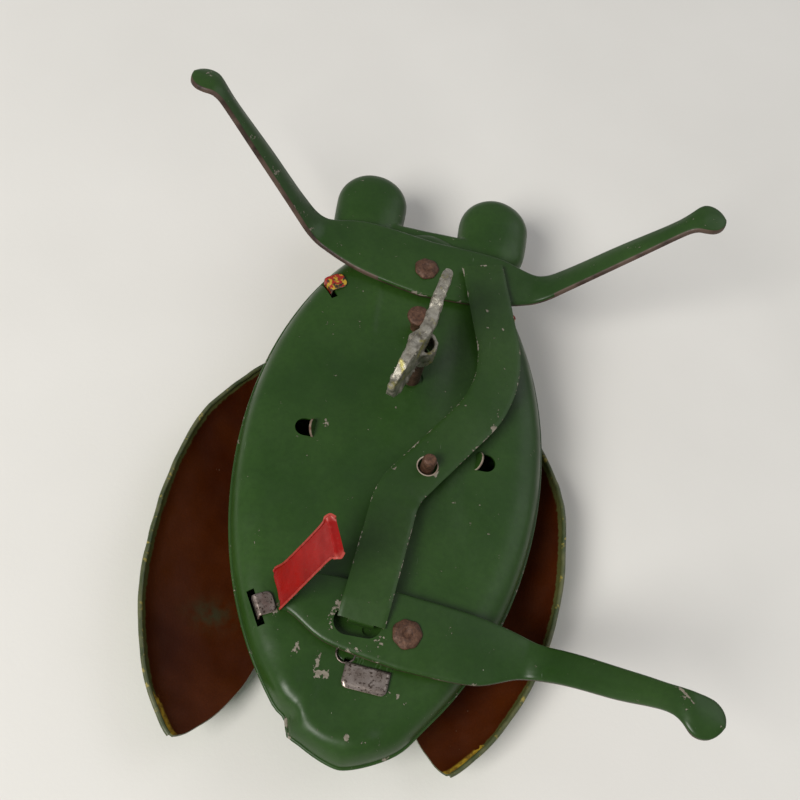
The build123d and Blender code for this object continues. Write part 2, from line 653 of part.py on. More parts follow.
def winding_arbor():
    """The arbor that the key turns, out through the belly."""
    return disc(*ARBOR, BACK_PLATE_Z - 0.3, ARBOR_RADIUS, ARBOR_TOP - BACK_PLATE_Z + 0.3)


def ratchet_wheel():
    """The saw-toothed wheel on the winding arbor."""
    teeth = 12
    points = []
    for k in range(teeth):
        angle = 2 * pi * k / teeth
        points.append((4.3 * cos(angle), 4.3 * sin(angle)))
        points.append((3.4 * cos(angle + 0.06), 3.4 * sin(angle + 0.06)))
    wheel = extrude(make_face(Polyline(*points, close=True)), 0.8) - Cylinder(ARBOR_RADIUS, 20)
    return spun(wheel, ARBOR, 0, RATCHET_Z)


def click():
    """The pawl on the great wheel that the ratchet wheel pushes on."""
    outline = Polyline((1.1, -0.9), (1.1, 0.9), (-1.1, 1.2), (-4.15, 0.5), (-2.8, -0.1), (-1.1, -0.9),
                       close=True)
    pawl = extrude(make_face(outline), 0.8) - Cylinder(CLICK_STUD_RADIUS + RUNNING, 20)
    return spun(pawl, CLICK_PIVOT, 0, RATCHET_Z)


def click_stud():
    """The stud on the great wheel that the click turns on."""
    return disc(*CLICK_PIVOT, RATCHET_Z - 0.2, CLICK_STUD_RADIUS, GREAT_WHEEL_Z - RATCHET_Z + 0.2)


def wing_cam():
    """The eccentric on the crank's shaft that drives the wing slider."""
    cam = disc(CRANK[0] - CAM_THROW, CRANK[1], SLIDER_Z, CAM_RADIUS, PLATE)
    return cam - disc(*CRANK, -20, CRANK_ARBOR_RADIUS, 20)


def wing_slider():
    """The strip inside the back that carries the cam's stroke to both wing posts."""
    bar = block((-7.6, 20.8, 0), (7.4, 25.6, 0.6)) + block((0.4, -11.0, 0), (7.4, 21.0, 0.6))
    bar = at(0, 0, SLIDER_Z) * fillet(bar.edges().filter_by(Axis.Z), 0.6)
    yoke = extrude(SlotOverall(2 * (CAM_RADIUS + CAM_THROW) + 1.4, 2 * CAM_RADIUS + 0.4), 4)
    bar -= at(CRANK[0], CRANK[1], SLIDER_Z - 2) * yoke
    window = extrude(SlotOverall(4.6, 2 * WING_POST_RADIUS + 0.6), 4)
    for side, turn in ((-1, LEFT_WING_TURN), (1, RIGHT_WING_TURN)):
        bar -= at(*wing_post_place(side, turn), SLIDER_Z - 2) * window
    return bar


# ================================================================ key
def key_ear(turn):
    """One cast ear of the key, standing on edge."""
    outline = Wire([Spline(*KEY_EAR), Line(KEY_EAR[-1], KEY_EAR[0])])
    upright = extrude(Plane.XZ * make_face(outline), KEY_THICK / 2, both=True)
    return Location((ARBOR[0], ARBOR[1], 0), (0, 0, turn)) * upright


def winding_key():
    """The cast key: a plate with two ears in the split top of a tube, one ear bent out of line."""
    barrel = disc(*ARBOR, KEY_BOTTOM, BARREL_RADIUS, BARREL_TOP - KEY_BOTTOM)
    bore = disc(*ARBOR, 0, BARREL_BORE, BARREL_TOP + 1)
    arbor_room = disc(*ARBOR, 0, BARREL_BORE, ARBOR_TOP + 0.3)
    return (barrel - bore) + (key_ear(KEY_FRONT_TURN) + key_ear(KEY_REAR_TURN) - arbor_room)


# ================================================================ all pieces
def pieces():
    """Every piece by name."""
    named = {
        "belly_pan": belly_pan(),
        "back_shell": back_shell(),
        "left_wing": wing(-1, LEFT_WING_TURN, LEFT_WING_LENGTH),
        "right_wing": wing(1, RIGHT_WING_TURN, RIGHT_WING_LENGTH),
        "left_wing_rivet": wing_rivet(-1),
        "right_wing_rivet": wing_rivet(1),
        "front_legs": front_legs(),
        "front_leg_rivet": leg_rivet(FRONT_PIVOT, 2.1),
        "front_leg_washer": leg_washer(FRONT_PIVOT),
        "rear_legs": rear_legs(),
        "rear_leg_rivet": leg_rivet(REAR_PIVOT, 2.4),
        "rear_leg_washer": leg_washer(REAR_PIVOT),
        "connecting_link": connecting_link(),
        "crank_disc": crank_disc(),
        "crank_pin": crank_pin(),
        "crank_arbor": crank_arbor(),
        "crank_pinion": crank_pinion(),
        "crank_wheel": crank_wheel(),
        "wing_cam": wing_cam(),
        "wing_slider": wing_slider(),
        "winding_key": winding_key(),
        "winding_arbor": winding_arbor(),
        "ratchet_wheel": ratchet_wheel(),
        "great_wheel": great_wheel(),
        "click_stud": click_stud(),
        "click": click(),
        "mainspring": mainspring(),
        "spring_post": spring_post(),
        "second_arbor": second_arbor(),
        "second_pinion": second_pinion(),
        "second_wheel": second_wheel(),
        "fly_pinion": fly_pinion(),
        "fly_blade": fly_blade(),
        "belly_plate": belly_plate(),
        "back_plate": back_plate(),
        "frame_posts": frame_posts(),
        "frame_rivet": frame_rivet(),
    }
    return named


def main():
    """Model every piece, stand the toy on its origin and write the files."""
    os.makedirs("parts", exist_ok=True)
    named = pieces()
    boxes = [shape.bounding_box() for shape in named.values()]
    middle_x = (min(b.min.X for b in boxes) + max(b.max.X for b in boxes)) / 2
    middle_y = (min(b.min.Y for b in boxes) + max(b.max.Y for b in boxes)) / 2
    bottom = min(b.min.Z for b in boxes)
    print("moved by", round(-middle_x, 4), round(-middle_y, 4), round(-bottom, 4))
    for name, shape in named.items():
        export_step(at(-middle_x, -middle_y, -bottom) * shape, f"parts/{name}.step")


main()
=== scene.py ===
"""Wind-up tin beetle lying on its back: the looks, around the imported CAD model.

Lengths are millimetres in the beetle's own frame, as in the CAD source: +Y to the head, +X to the
right of the belly, +Z out of the belly, the flat middle of the belly at Z = 0. spot() turns such a
point into a place in the row frame.
"""

import json
from math import asin, atan2, cos, hypot, pi, radians, sin, sqrt

import bmesh
import bpy
from mathutils import Matrix, Vector, noise

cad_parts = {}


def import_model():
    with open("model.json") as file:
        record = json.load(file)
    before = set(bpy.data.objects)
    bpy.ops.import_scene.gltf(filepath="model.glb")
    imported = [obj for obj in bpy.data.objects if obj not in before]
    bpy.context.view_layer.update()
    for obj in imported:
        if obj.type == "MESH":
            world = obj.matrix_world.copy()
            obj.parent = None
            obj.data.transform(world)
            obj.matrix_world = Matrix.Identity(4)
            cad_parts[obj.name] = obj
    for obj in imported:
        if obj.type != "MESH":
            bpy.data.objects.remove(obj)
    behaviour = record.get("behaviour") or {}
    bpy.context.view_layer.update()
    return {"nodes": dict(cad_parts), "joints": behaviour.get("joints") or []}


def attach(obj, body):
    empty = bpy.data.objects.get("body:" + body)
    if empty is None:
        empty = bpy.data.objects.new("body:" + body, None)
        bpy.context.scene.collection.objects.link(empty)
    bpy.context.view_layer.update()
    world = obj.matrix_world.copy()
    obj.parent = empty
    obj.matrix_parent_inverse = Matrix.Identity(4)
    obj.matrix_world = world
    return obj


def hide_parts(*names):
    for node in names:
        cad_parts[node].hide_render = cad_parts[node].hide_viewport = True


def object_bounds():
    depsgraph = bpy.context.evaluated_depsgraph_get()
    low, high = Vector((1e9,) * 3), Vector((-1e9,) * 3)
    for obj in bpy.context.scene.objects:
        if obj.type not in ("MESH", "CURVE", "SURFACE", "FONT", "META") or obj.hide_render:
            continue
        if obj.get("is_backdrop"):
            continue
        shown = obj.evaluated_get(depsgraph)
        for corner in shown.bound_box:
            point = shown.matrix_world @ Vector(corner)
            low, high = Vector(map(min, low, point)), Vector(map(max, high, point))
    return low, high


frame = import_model()

# ------------------------------------------------------------------ driving dimensions, as in the CAD
MM = 0.001
TIN = 0.4                    # thickness of the pan's, the back's and the covers' sheet
RIM_Z = -4.5                 # height of the seam between belly and back
WIDEST_Y = -2.0
FRONT_POWER, TAIL_POWER = 1.17, 1.28      # how fast the outline narrows
BODY = {"wide": 27.0, "front": 49.7, "tail": 53.0, "deep": 12.0}
WING_DOME = {"wide": 29.4, "front": 52.0, "tail": 57.8, "deep": 13.6}
EYES = [(-12.4, 52.5), (12.4, 52.5)]
EYE_RADIUS, EYE_HEIGHT, EYE_STRETCH = 7.0, 3.9, 4.2
NECK_PLAN = [(14.6, 32.0), (14.4, 41.0), (12.6, 46.2), (9.5, 47.7)]
NECK_HEIGHT = 3.2
FRONT_PIVOT, REAR_PIVOT = (0.0, 35.9), (6.7, -34.0)
FRONT_TURN, REAR_TURN = -4.5, -5.8
LEG_Z, LEG_SHEET, FLANGE, FOOT_Z = 1.5, 0.45, 0.9, 24.0
LEG_TIN = 0.34               # the leg strips' drawn thickness
STRIP_CREASE = 60            # folds sharper than this stay sharp on the strips, degrees
FRONT_LEG = {"elbow": 23.0, "elbow_rise": 8.0, "reach": 50.2, "foot_rise": 13.8,
             "head_side": 6.9, "tail_side": 5.5, "waist": 2.2, "foot": 2.9}
REAR_LEG = {"elbow": 22.4, "elbow_rise": 4.0, "reach": 45.5, "foot_rise": -8.4,
            "head_side": 6.6, "tail_side": 5.7, "waist": 2.25, "foot": 3.1}
BENT_FOLD = Vector((-14.8, -30.9, LEG_Z + LEG_SHEET / 2))
BENT_ACROSS = Vector((0.397, -0.918, 0.0))
BENT_UP = Vector((7.7, 4.1, 24.3)).normalized()
BENT_HEADING = Vector((-0.918, -0.397, 0.0))      # the way the leg would go on, unbent
BENT_LENGTH, BENT_LIP, BENT_SHEET = 21.056, 1.3, 0.36
CRANK_PIN = (5.7, -4.9)
CRANK_HOLE = (3.7, -4.9, 3.55)
LINK_Z, LINK_SHEET, LINK_WIDTH, LINK_TAB = 3.4, 0.45, 7.9, 4.2
LINK_SAGS = (0.25, 0.85)     # how far the two ends droop
FRONT_SLOT, REAR_SLOT, REAR_SLOT_SHIFT = (6.4, 2.9), (7.9, 4.5), -0.5
LINK_ROUTE = [(10.4, 37.8), (17.8, 13.3), (1.4, -10.6), (-0.9, -33.6)]
LINK_BENDS = [21.0, 11.0]
WING_PIVOT = (7.0, 30.0)
WING_TURNS = {-1: -15.5, 1: 10.0}
WING_LENGTHS = {-1: 1.0, 1: 0.9}
WING_TAPER_Y = -20.0         # behind here a cover is shortened by its length share
WING_TIP_Y = {-1: -56.55, 1: -52.9}
ARBOR = (0.8, 13.5)
EAR_TURNS, EAR_HALF = (80.9, -109.8), 1.1      # the key's two ears: directions, half thickness
STUD = (-0.1, 24.1)
LANCED, LANCED_RADIUS = (16.3, -0.3), 1.65
ARBOR_HOLE, RIVET_HOLE, RIVET_SHANK = 2.1, 1.3, 1.15
PIN_HOLE = 1.75              # in the link, round the crank pin
TAB_SHEET, TAB_SLOT = 0.34, 1.25
TABS = [(-17.9, -33.4, 28.7, 3.6, 3.0), (17.9, -33.4, 151.3, 3.6, 3.0), (-17.4, 29.4, 35.0, 3.0, 3.4),
        (17.4, 29.4, 145.0, 3.0, 3.4), (1.6, -39.8, -93.6, 7.4, 4.0)]      # x, y, direction, width, reach

FRONT_JOINT = next(j for j in frame["joints"] if j["name"] == "front_legs_swing")
ORIGIN = Vector(FRONT_JOINT["pos_m"]) - Vector((*FRONT_PIVOT, LEG_Z)) * MM


def spot(x, y, z):
    """A point of the beetle's own frame as a place in the row frame."""
    return ORIGIN + Vector((x, y, z)) * MM


# ------------------------------------------------------------------ small tools
def piece(name, points, faces, *materials, smooth=True):
    """A mesh object from points in the beetle's frame."""
    mesh = bpy.data.meshes.new(name)
    mesh.from_pydata([spot(*p) for p in points], [], faces)
    mesh.validate()
    obj = bpy.data.objects.new(name, mesh)
    bpy.context.scene.collection.objects.link(obj)
    for material in materials:
        mesh.materials.append(material)
    mesh.shade_smooth() if smooth else mesh.shade_flat()
    return obj


def modify(obj, kind, **settings):
    """Add a modifier and apply it at once."""
    modifier = obj.modifiers.new(kind, kind)
    for key, value in settings.items():
        setattr(modifier, key, value)
    bpy.context.view_layer.objects.active = obj
    with bpy.context.temp_override(object=obj, active_object=obj, selected_objects=[obj]):
        bpy.ops.object.modifier_apply(modifier=modifier.name)
    return obj


def paint(obj, material):
    """Give a whole object one material."""
    obj.data.materials.clear()
    obj.data.materials.append(material)


def join(name, objects):
    """Make one object of several."""
    bpy.context.view_layer.update()
    with bpy.context.temp_override(object=objects[0], active_object=objects[0],
                                   selected_objects=objects, selected_editable_objects=objects):
        bpy.ops.object.join()
    objects[0].name = name
    return objects[0]


def local(vertex):
    """A mesh vertex in the beetle's own frame, millimetres."""
    return (vertex.co - ORIGIN) / MM


def reshape(obj, move):
    """Move every vertex by a function of its place in the beetle's frame."""
    for vertex in obj.data.vertices:
        place = local(vertex)
        vertex.co += Vector(move(place)) * MM


def mark(obj, name, values):
    """Store the given numbers on a mesh's vertices, in order, for the materials."""
    layer = obj.data.attributes.new(name, "FLOAT", "POINT")
    for point, value in zip(layer.data, values):
        point.value = value


def weigh(obj, name, value):
    """Store a number on every vertex for the materials, from its place in the beetle's frame."""
    mark(obj, name, [value(local(vertex)) for vertex in obj.data.vertices])


def cut(obj, cutters):
    """Cut closed forms out of a piece."""
    cutter = join("cutter", cutters)
    modify(obj, "BOOLEAN", object=cutter, operation="DIFFERENCE", solver="FAST")
    bpy.data.objects.remove(cutter)
    return obj


def between(name, start, end, smooth):
    """A closed form between two outlines of equally many points."""
    count = len(start)
    faces = [list(range(count))[::-1], list(range(count, 2 * count))]
    faces += [[k, (k + 1) % count, count + (k + 1) % count, count + k] for k in range(count)]
    return tidy(piece(name, start + end, faces, smooth=smooth))


def prism(plan, low, high):
    """A closed upright form over a plan."""
    return between("prism", [(x, y, low) for x, y in plan], [(x, y, high) for x, y in plan], False)


def round_plan(x, y, radius, count=40):
    """A circle as a plan."""
    turns = [2 * pi * k / count for k in range(count)]
    return [(x + radius * cos(turn), y + radius * sin(turn)) for turn in turns]


def slot_plan(x, y, direction, long, wide):
    """A rectangle as a plan, with its short side along a direction."""
    c, s = cos(radians(direction)), sin(radians(direction))
    corners = [(-wide / 2, -long / 2), (wide / 2, -long / 2), (wide / 2, long / 2), (-wide / 2, long / 2)]
    return [(x + c * u - s * v, y + s * u + c * v) for u, v in corners]


def oval_plan(x, y, long, wide, count=12):
    """A slot with round ends, along X, as a plan."""
    half, radius = (long - wide) / 2, wide / 2
    turns = [radians(-90 + 180 * k / count) for k in range(count + 1)]
    arc = [(half + radius * cos(turn), radius * sin(turn)) for turn in turns]
    return [(x + side * u, y + side * v) for side in (1, -1) for u, v in arc]


def smooth_line(points, steps):
    """Points along a smooth curve through the given ones."""
    ends = [points[0], *points, points[-1]]
    line = []
    for a, b, c, d in zip(ends, ends[1:], ends[2:], ends[3:]):
        for k in range(steps):
            t = k / steps
            line.append(tuple(0.5 * (2 * q + (r - p) * t + (2 * p - 5 * q + 4 * r - u) * t * t
                                     + (3 * q - p - 3 * r + u) * t ** 3) for p, q, r, u in zip(a, b, c, d)))
    return line + [tuple(points[-1])]


def spread(line, count):
    """The same line as evenly spaced points."""
    lengths = [0.0]
    for a, b in zip(line, line[1:]):
        lengths.append(lengths[-1] + (Vector(b) - Vector(a)).length)
    points, k = [], 0
    for step in range(count):
        want = lengths[-1] * step / (count - 1)
        while k < len(line) - 2 and lengths[k + 1] < want:
            k += 1
        share = (want - lengths[k]) / ((lengths[k + 1] - lengths[k]) or 1)
        points.append(tuple(a + (b - a) * min(max(share, 0), 1) for a, b in zip(line[k], line[k + 1])))
    return points


def lattice(rows):
    """Points and faces of a sheet given as rows of equally many points."""
    wide = len(rows[0])
    points = [p for row in rows for p in row]
    faces = [[r * wide + c, r * wide + c + 1, (r + 1) * wide + c + 1, (r + 1) * wide + c]
             for r in range(len(rows) - 1) for c in range(wide - 1)]
    return points, faces


def lathe(name, x, y, profile, count, *materials, wobble=None):
    """A turned form about an upright axis; the profile lists radius and height from the bottom up."""
    rows = []
    for radius, z in profile:
        row = []
        for k in range(count):
            a = 2 * pi * k / count
            r = radius * (1 + (wobble(a, z) if wobble else 0))
            row.append((x + r * cos(a), y + r * sin(a), z))
        rows.append(row + [row[0]])
    points, faces = lattice(rows)
    faces.append([k for k in range(count)][::-1])
    faces.append([(len(rows) - 1) * (count + 1) + k for k in range(count)])
    obj = piece(name, points, faces, *materials)
    form = bmesh.new()
    form.from_mesh(obj.data)
    bmesh.ops.remove_doubles(form, verts=form.verts, dist=0.002 * MM)
    bmesh.ops.recalc_face_normals(form, faces=form.faces)
    form.to_mesh(obj.data)
    form.free()
    return obj


def bead(name, line, radius, material, closed=True):
    """A round bead along a line."""
    curve = bpy.data.curves.new(name, "CURVE")
    curve.dimensions = "3D"
    curve.bevel_depth = radius * MM
    curve.bevel_resolution = 3
    curve.use_fill_caps = True
    strand = curve.splines.new("POLY")
    strand.points.add(len(line) - 1)
    for point, place in zip(strand.points, line):
        point.co = (*spot(*place), 1)
    strand.use_cyclic_u = closed
    curve.materials.append(material)
    obj = bpy.data.objects.new(name, curve)
    bpy.context.scene.collection.objects.link(obj)
    return obj


# ------------------------------------------------------------------ materials
class Shade:
    """A short way to write a node material."""

    def __init__(self, name, rough=0.4, metallic=0.0, coat=0.0, specular=0.5):
        self.material = bpy.data.materials.new(name)
        self.material.use_nodes = True
        self.tree = self.material.node_tree
        self.skin = self.tree.nodes["Principled BSDF"]
        self.skin.inputs["Roughness"].default_value = rough
        self.skin.inputs["Metallic"].default_value = metallic
        self.skin.inputs["Coat Weight"].default_value = coat
        self.skin.inputs["Coat Roughness"].default_value = 0.18
        self.skin.inputs["Specular IOR Level"].default_value = specular
        self.place = self.tree.nodes.new("ShaderNodeTexCoord").outputs["Object"]

    def link(self, value, socket):
        if isinstance(value, bpy.types.NodeSocket):
            self.tree.links.new(value, socket)
        elif isinstance(value, (tuple, list)) and len(value) == 3 and len(socket.default_value) == 4:
            socket.default_value = (*value, 1)
        else:
            socket.default_value = value

    def node(self, kind, out, settings=(), **inputs):
        made = self.tree.nodes.new(kind)
        for key, value in dict(settings).items():
            setattr(made, key, value)
        for key, value in inputs.items():
            self.link(value, made.inputs[int(key[1:]) if key.startswith("_") else key])
        return made.outputs[out]

    def stretch(self, scale, turn=(0, 0, 0)):
        return self.node("ShaderNodeMapping", 0, Vector=self.place, Scale=scale, Rotation=turn)

    def noise(self, size, detail=3.0, rough=0.55, where=None):
        """Cloudy noise with features of about a size in millimetres."""
        return self.node("ShaderNodeTexNoise", 0, Vector=where or self.place, Scale=1 / (size * MM),
                         Detail=detail, Roughness=rough)

    def cloud(self, size, low, high, to=(0.0, 1.0), detail=3.0, rough=0.55):
        """Noise stretched between two marks, as a share from 0 to 1 or between the two values in to."""
        return self.span(self.noise(size, detail, rough), low, high, *to)

    def cells(self, size):
        """Distances to scattered points about a size in millimetres apart."""
        return self.node("ShaderNodeTexVoronoi", 0, Vector=self.place, Scale=1 / (size * MM))

    def math(self, operation, a, b=0.0):
        return self.node("ShaderNodeMath", 0, {"operation": operation}, _0=a, _1=b)

    def uneven(self, value, size, detail, amount, rough=0.55):
        """A value made ragged by noise of a size and amount."""
        wave = self.math("SUBTRACT", self.noise(size, detail, rough), 0.5)
        return self.math("ADD", value, self.math("MULTIPLY", wave, amount))

    def span(self, value, low, high, to_low=0.0, to_high=1.0):
        """A value's stretch between two marks, as a share from 0 to 1."""
        return self.node("ShaderNodeMapRange", 0, _0=value, _1=low, _2=high, _3=to_low, _4=to_high)

    def mix(self, share, a, b):
        made = self.tree.nodes.new("ShaderNodeMix")
        made.data_type = "RGBA"
        self.link(share, made.inputs[0])
        self.link(a, made.inputs[6])
        self.link(b, made.inputs[7])
        return made.outputs[2]

    def weight(self, name):
        made = self.tree.nodes.new("ShaderNodeAttribute")
        made.attribute_name = name
        return made.outputs["Fac"]

    def normal(self, height, distance, after=None):
        """Bumps from a height, at most a distance in millimetres high."""
        made = self.tree.nodes.new("ShaderNodeBump")
        made.inputs["Distance"].default_value = distance * MM
        self.link(height, made.inputs["Height"])
        if after is not None:
            self.link(after, made.inputs["Normal"])
        return made.outputs[0]

    def finish(self, colour, rough=None, normal=None):
        for name, value in (("Base Color", colour), ("Roughness", rough), ("Normal", normal)):
            if value is not None:
                self.link(value, self.skin.inputs[name])
        return self.material


def chipped(s, colour, rough, chips):
    """Paint over bare tin: colour and roughness with the paint gone where chips is 1."""
    tin = s.mix(s.noise(0.7), (0.31, 0.28, 0.225), (0.085, 0.070, 0.045))
    return s.mix(chips, colour, tin), s.mix(chips, rough, (0.55,) * 3)


def green_enamel(name, dark, light):
    """Old green enamel on tin: mottled, scratched, specked with dust, chipped where 'wear' is high."""
    s = Shade(name, specular=0.30)
    cloud = s.cloud(16.0, 0.35, 0.68, detail=4.0)
    colour = s.mix(cloud, dark, light)
    fine = s.cloud(0.8, 0.3, 0.75, to=(0.0, 0.35), detail=4.0)
    colour = s.mix(fine, colour, tuple(c * 0.62 for c in dark))
    wear = s.uneven(s.uneven(s.weight("wear"), 0.55, 5.0, 1.5, 0.7), 2.2, 2.0, 1.5)
    chips = s.span(wear, 0.5, 0.55)
    speck = s.cloud(0.42, 0.80, 0.83, detail=1.0, rough=0.4)
    dust = s.math("MULTIPLY", speck, s.cloud(6.0, 0.56, 0.62, detail=2.0))
    lines = s.stretch((1.0, 0.045, 1.0), turn=(0, 0, radians(24)))
    scratch = s.span(s.noise(0.34, 2.0, 0.5, where=lines), 0.745, 0.76)
    scratch = s.math("MULTIPLY", scratch, s.cloud(9.0, 0.52, 0.6, detail=1.0))
    colour = s.mix(s.math("MULTIPLY", scratch, 0.45), colour, (0.17, 0.21, 0.15))
    colour = s.mix(dust, colour, (0.36, 0.34, 0.28))
    rough = s.mix(s.cloud(5.0, 0.3, 0.75, detail=4.0), (0.30,) * 3, (0.46,) * 3)
    rough = s.mix(scratch, rough, (0.6,) * 3)
    colour, rough = chipped(s, colour, rough, chips)
    skin = s.normal(s.noise(0.5, 3.0), 0.012)
    skin = s.normal(s.noise(3.6, 2.0), 0.075, after=skin)
    torn = s.math("MAXIMUM", chips, s.math("MULTIPLY", scratch, 0.5))
    return s.finish(colour, rough, s.normal(s.math("SUBTRACT", 1.0, torn), 0.05, after=skin))


def red_enamel():
    """Glossy red paint, lightened to pink along its edges as a painted highlight."""
    s = Shade("red_enamel", specular=0.20)
    colour = s.mix(s.cloud(4.0, 0.3, 0.7), (0.265, 0.0055, 0.0040), (0.191, 0.0040, 0.0029))
    # painted highlight: the red turns pink where the 'edge' weight is high
    edge_highlight = s.span(s.uneven(s.weight("edge"), 0.7, 3.0, 0.7), 0.60, 1.15)
    colour = s.mix(edge_highlight, colour, (0.36, 0.055, 0.042))
    specks = s.cloud(0.5, 0.74, 0.78, detail=1.0)
    colour = s.mix(specks, colour, (0.20, 0.05, 0.02))
    return s.finish(colour, s.cloud(2.0, 0.3, 0.7, to=(0.28, 0.45)), s.normal(s.noise(1.2, 4.0), 0.03))


def raw_edge(name, tin, brown, pale):
    """The cut edge of painted tin: metal, remains of brown paint and rust."""
    s = Shade(name, rough=0.5, specular=0.3)
    colour = s.mix(s.cloud(1.1, 0.38, 0.62, detail=4.0), tin, brown)
    colour = s.mix(s.cloud(5.0, 0.42, 0.6, detail=2.0), colour, pale)
    return s.finish(colour, s.cloud(0.6, 0.3, 0.7, to=(0.35, 0.65)), s.normal(s.noise(0.4), 0.03))


def bare_tin():
    """Dull tinplate with grey spots of rust."""
    s = Shade("bare_tin", metallic=0.85)
    spots = s.cloud(0.45, 0.52, 0.6, detail=4.0, rough=0.65)
    colour = s.mix(s.cloud(2.0, 0.3, 0.7), (0.34, 0.29, 0.26), (0.16, 0.125, 0.105))
    colour = s.mix(spots, colour, (0.055, 0.040, 0.032))
    return s.finish(colour, s.mix(spots, (0.34,) * 3, (0.7,) * 3), s.normal(s.noise(0.5, 4.0), 0.03))


def tab_print():
    """A tab's printed face: red with yellow rubbed through and dirt."""
    s = Shade("tab_print", specular=0.35)
    colour = s.mix(s.cloud(1.3, 0.50, 0.54, detail=2.0), (0.26, 0.014, 0.008), (0.40, 0.25, 0.02))
    colour = s.mix(s.cloud(0.8, 0.52, 0.60, detail=4.0), colour, (0.03, 0.018, 0.010))
    return s.finish(colour, s.cloud(0.7, 0.3, 0.7, to=(0.32, 0.6)), s.normal(s.noise(0.5), 0.03))


def rust(name, base=(0.046, 0.017, 0.007), pale=(0.128, 0.060, 0.033)):
    """Rough rust brown iron with paler rubbed spots."""
    s = Shade(name, metallic=0.25)
    colour = s.mix(s.cloud(0.9, 0.38, 0.66, detail=5.0, rough=0.7), base, pale)
    colour = s.mix(s.cloud(0.35, 0.55, 0.7), colour, (0.035, 0.015, 0.010))
    bumps = s.math("ADD", s.noise(0.5, 5.0, 0.7), s.math("MULTIPLY", s.noise(1.6, 2.0), 1.2))
    return s.finish(colour, s.cloud(0.7, 0.3, 0.7, to=(0.42, 0.75)), s.normal(bumps, 0.14))


def cast_metal():
    """The key's dull cast metal: silvery rubbed places, pits and yellow stains."""
    s = Shade("cast_metal", metallic=0.75)
    pits = s.cloud(1.3, 0.36, 0.56, detail=5.0, rough=0.6)
    colour = s.mix(pits, (0.16, 0.145, 0.115), (0.31, 0.29, 0.24))
    stain = s.cloud(3.0, 0.56, 0.66, rough=0.6)
    colour = s.mix(s.math("MULTIPLY", stain, 0.7), colour, (0.34, 0.30, 0.055))
    colour = s.mix(s.cloud(1.7, 0.55, 0.75, detail=2.0), colour, (0.36, 0.34, 0.29))
    bumps = s.math("ADD", s.noise(0.5, 5.0, 0.75), s.noise(1.5, 3.0))
    return s.finish(colour, s.cloud(0.8, 0.3, 0.7, to=(0.26, 0.5)), s.normal(bumps, 0.12))


def turned_metal(name, colour, tarnish, rough):
    """Clean clockwork metal with rings of tooling marks and some tarnish."""
    s = Shade(name, metallic=0.95)
    marks = s.noise(0.25, 2.0, where=s.stretch((1.0, 1.0, 6.0)))
    tone = s.mix(s.cloud(2.4, 0.42, 0.66, detail=4.0), colour, tarnish)
    return s.finish(tone, s.span(marks, 0.3, 0.7, rough - 0.08, rough + 0.1), s.normal(marks, 0.012))


def wing_varnish(name, base, deep):
    """The covers' inside: red-brown varnish, olive at the turned edge, worn to yellow at the tip."""
    s = Shade(name, specular=0.16)
    grain = s.cloud(0.35, 0.3, 0.7, to=(0.0, 0.30))
    colour = s.mix(s.cloud(14.0, 0.34, 0.66), base, deep)
    colour = s.mix(grain, colour, tuple(c * 0.55 for c in deep))
    smudge = s.math("MULTIPLY", s.weight("smudge"), s.cloud(2.0, 0.3, 0.6))
    colour = s.mix(smudge, colour, (0.030, 0.028, 0.012))
    speck = s.math("MULTIPLY", s.cloud(0.45, 0.80, 0.82, detail=1.0), s.cloud(7.0, 0.53, 0.58))
    colour = s.mix(speck, colour, (0.22, 0.15, 0.10))
    ragged = s.math("MULTIPLY", s.math("SUBTRACT", s.noise(1.0, 4.0), 0.5), 0.5)
    edge = s.span(s.math("ADD", s.weight("edge"), ragged), 0.62, 0.72)
    colour = s.mix(edge, colour, s.mix(s.noise(2.2), (0.035, 0.045, 0.012), (0.075, 0.072, 0.022)))
    tip = s.span(s.math("ADD", s.weight("tip"), s.math("MULTIPLY", ragged, 1.6)), 0.55, 0.62)
    gold = s.mix(s.cloud(0.8, 0.42, 0.6, detail=4.0), (0.34, 0.22, 0.02), (0.16, 0.09, 0.015))
    colour = s.mix(s.math("MULTIPLY", tip, s.span(s.weight("edge"), 0.25, 0.55)), colour, gold)
    rough = s.cloud(4.0, 0.3, 0.7, to=(0.36, 0.55), detail=4.0)
    skin = s.normal(s.noise(0.3, 3.0), 0.02)
    return s.finish(colour, rough, s.normal(s.noise(5.0), 0.10, after=skin))


def print_rim():
    """The turned edge of the covers: green print rubbed to olive and, in places, yellow."""
    s = Shade("print_rim")
    colour = s.mix(s.cloud(3.0, 0.35, 0.65), (0.030, 0.045, 0.014), (0.085, 0.090, 0.035))
    colour = s.mix(s.cloud(1.2, 0.60, 0.68, detail=4.0), colour, (0.25, 0.20, 0.04))
    return s.finish(colour, s.cloud(1.0, 0.3, 0.7, to=(0.32, 0.55)), s.normal(s.noise(0.7), 0.03))


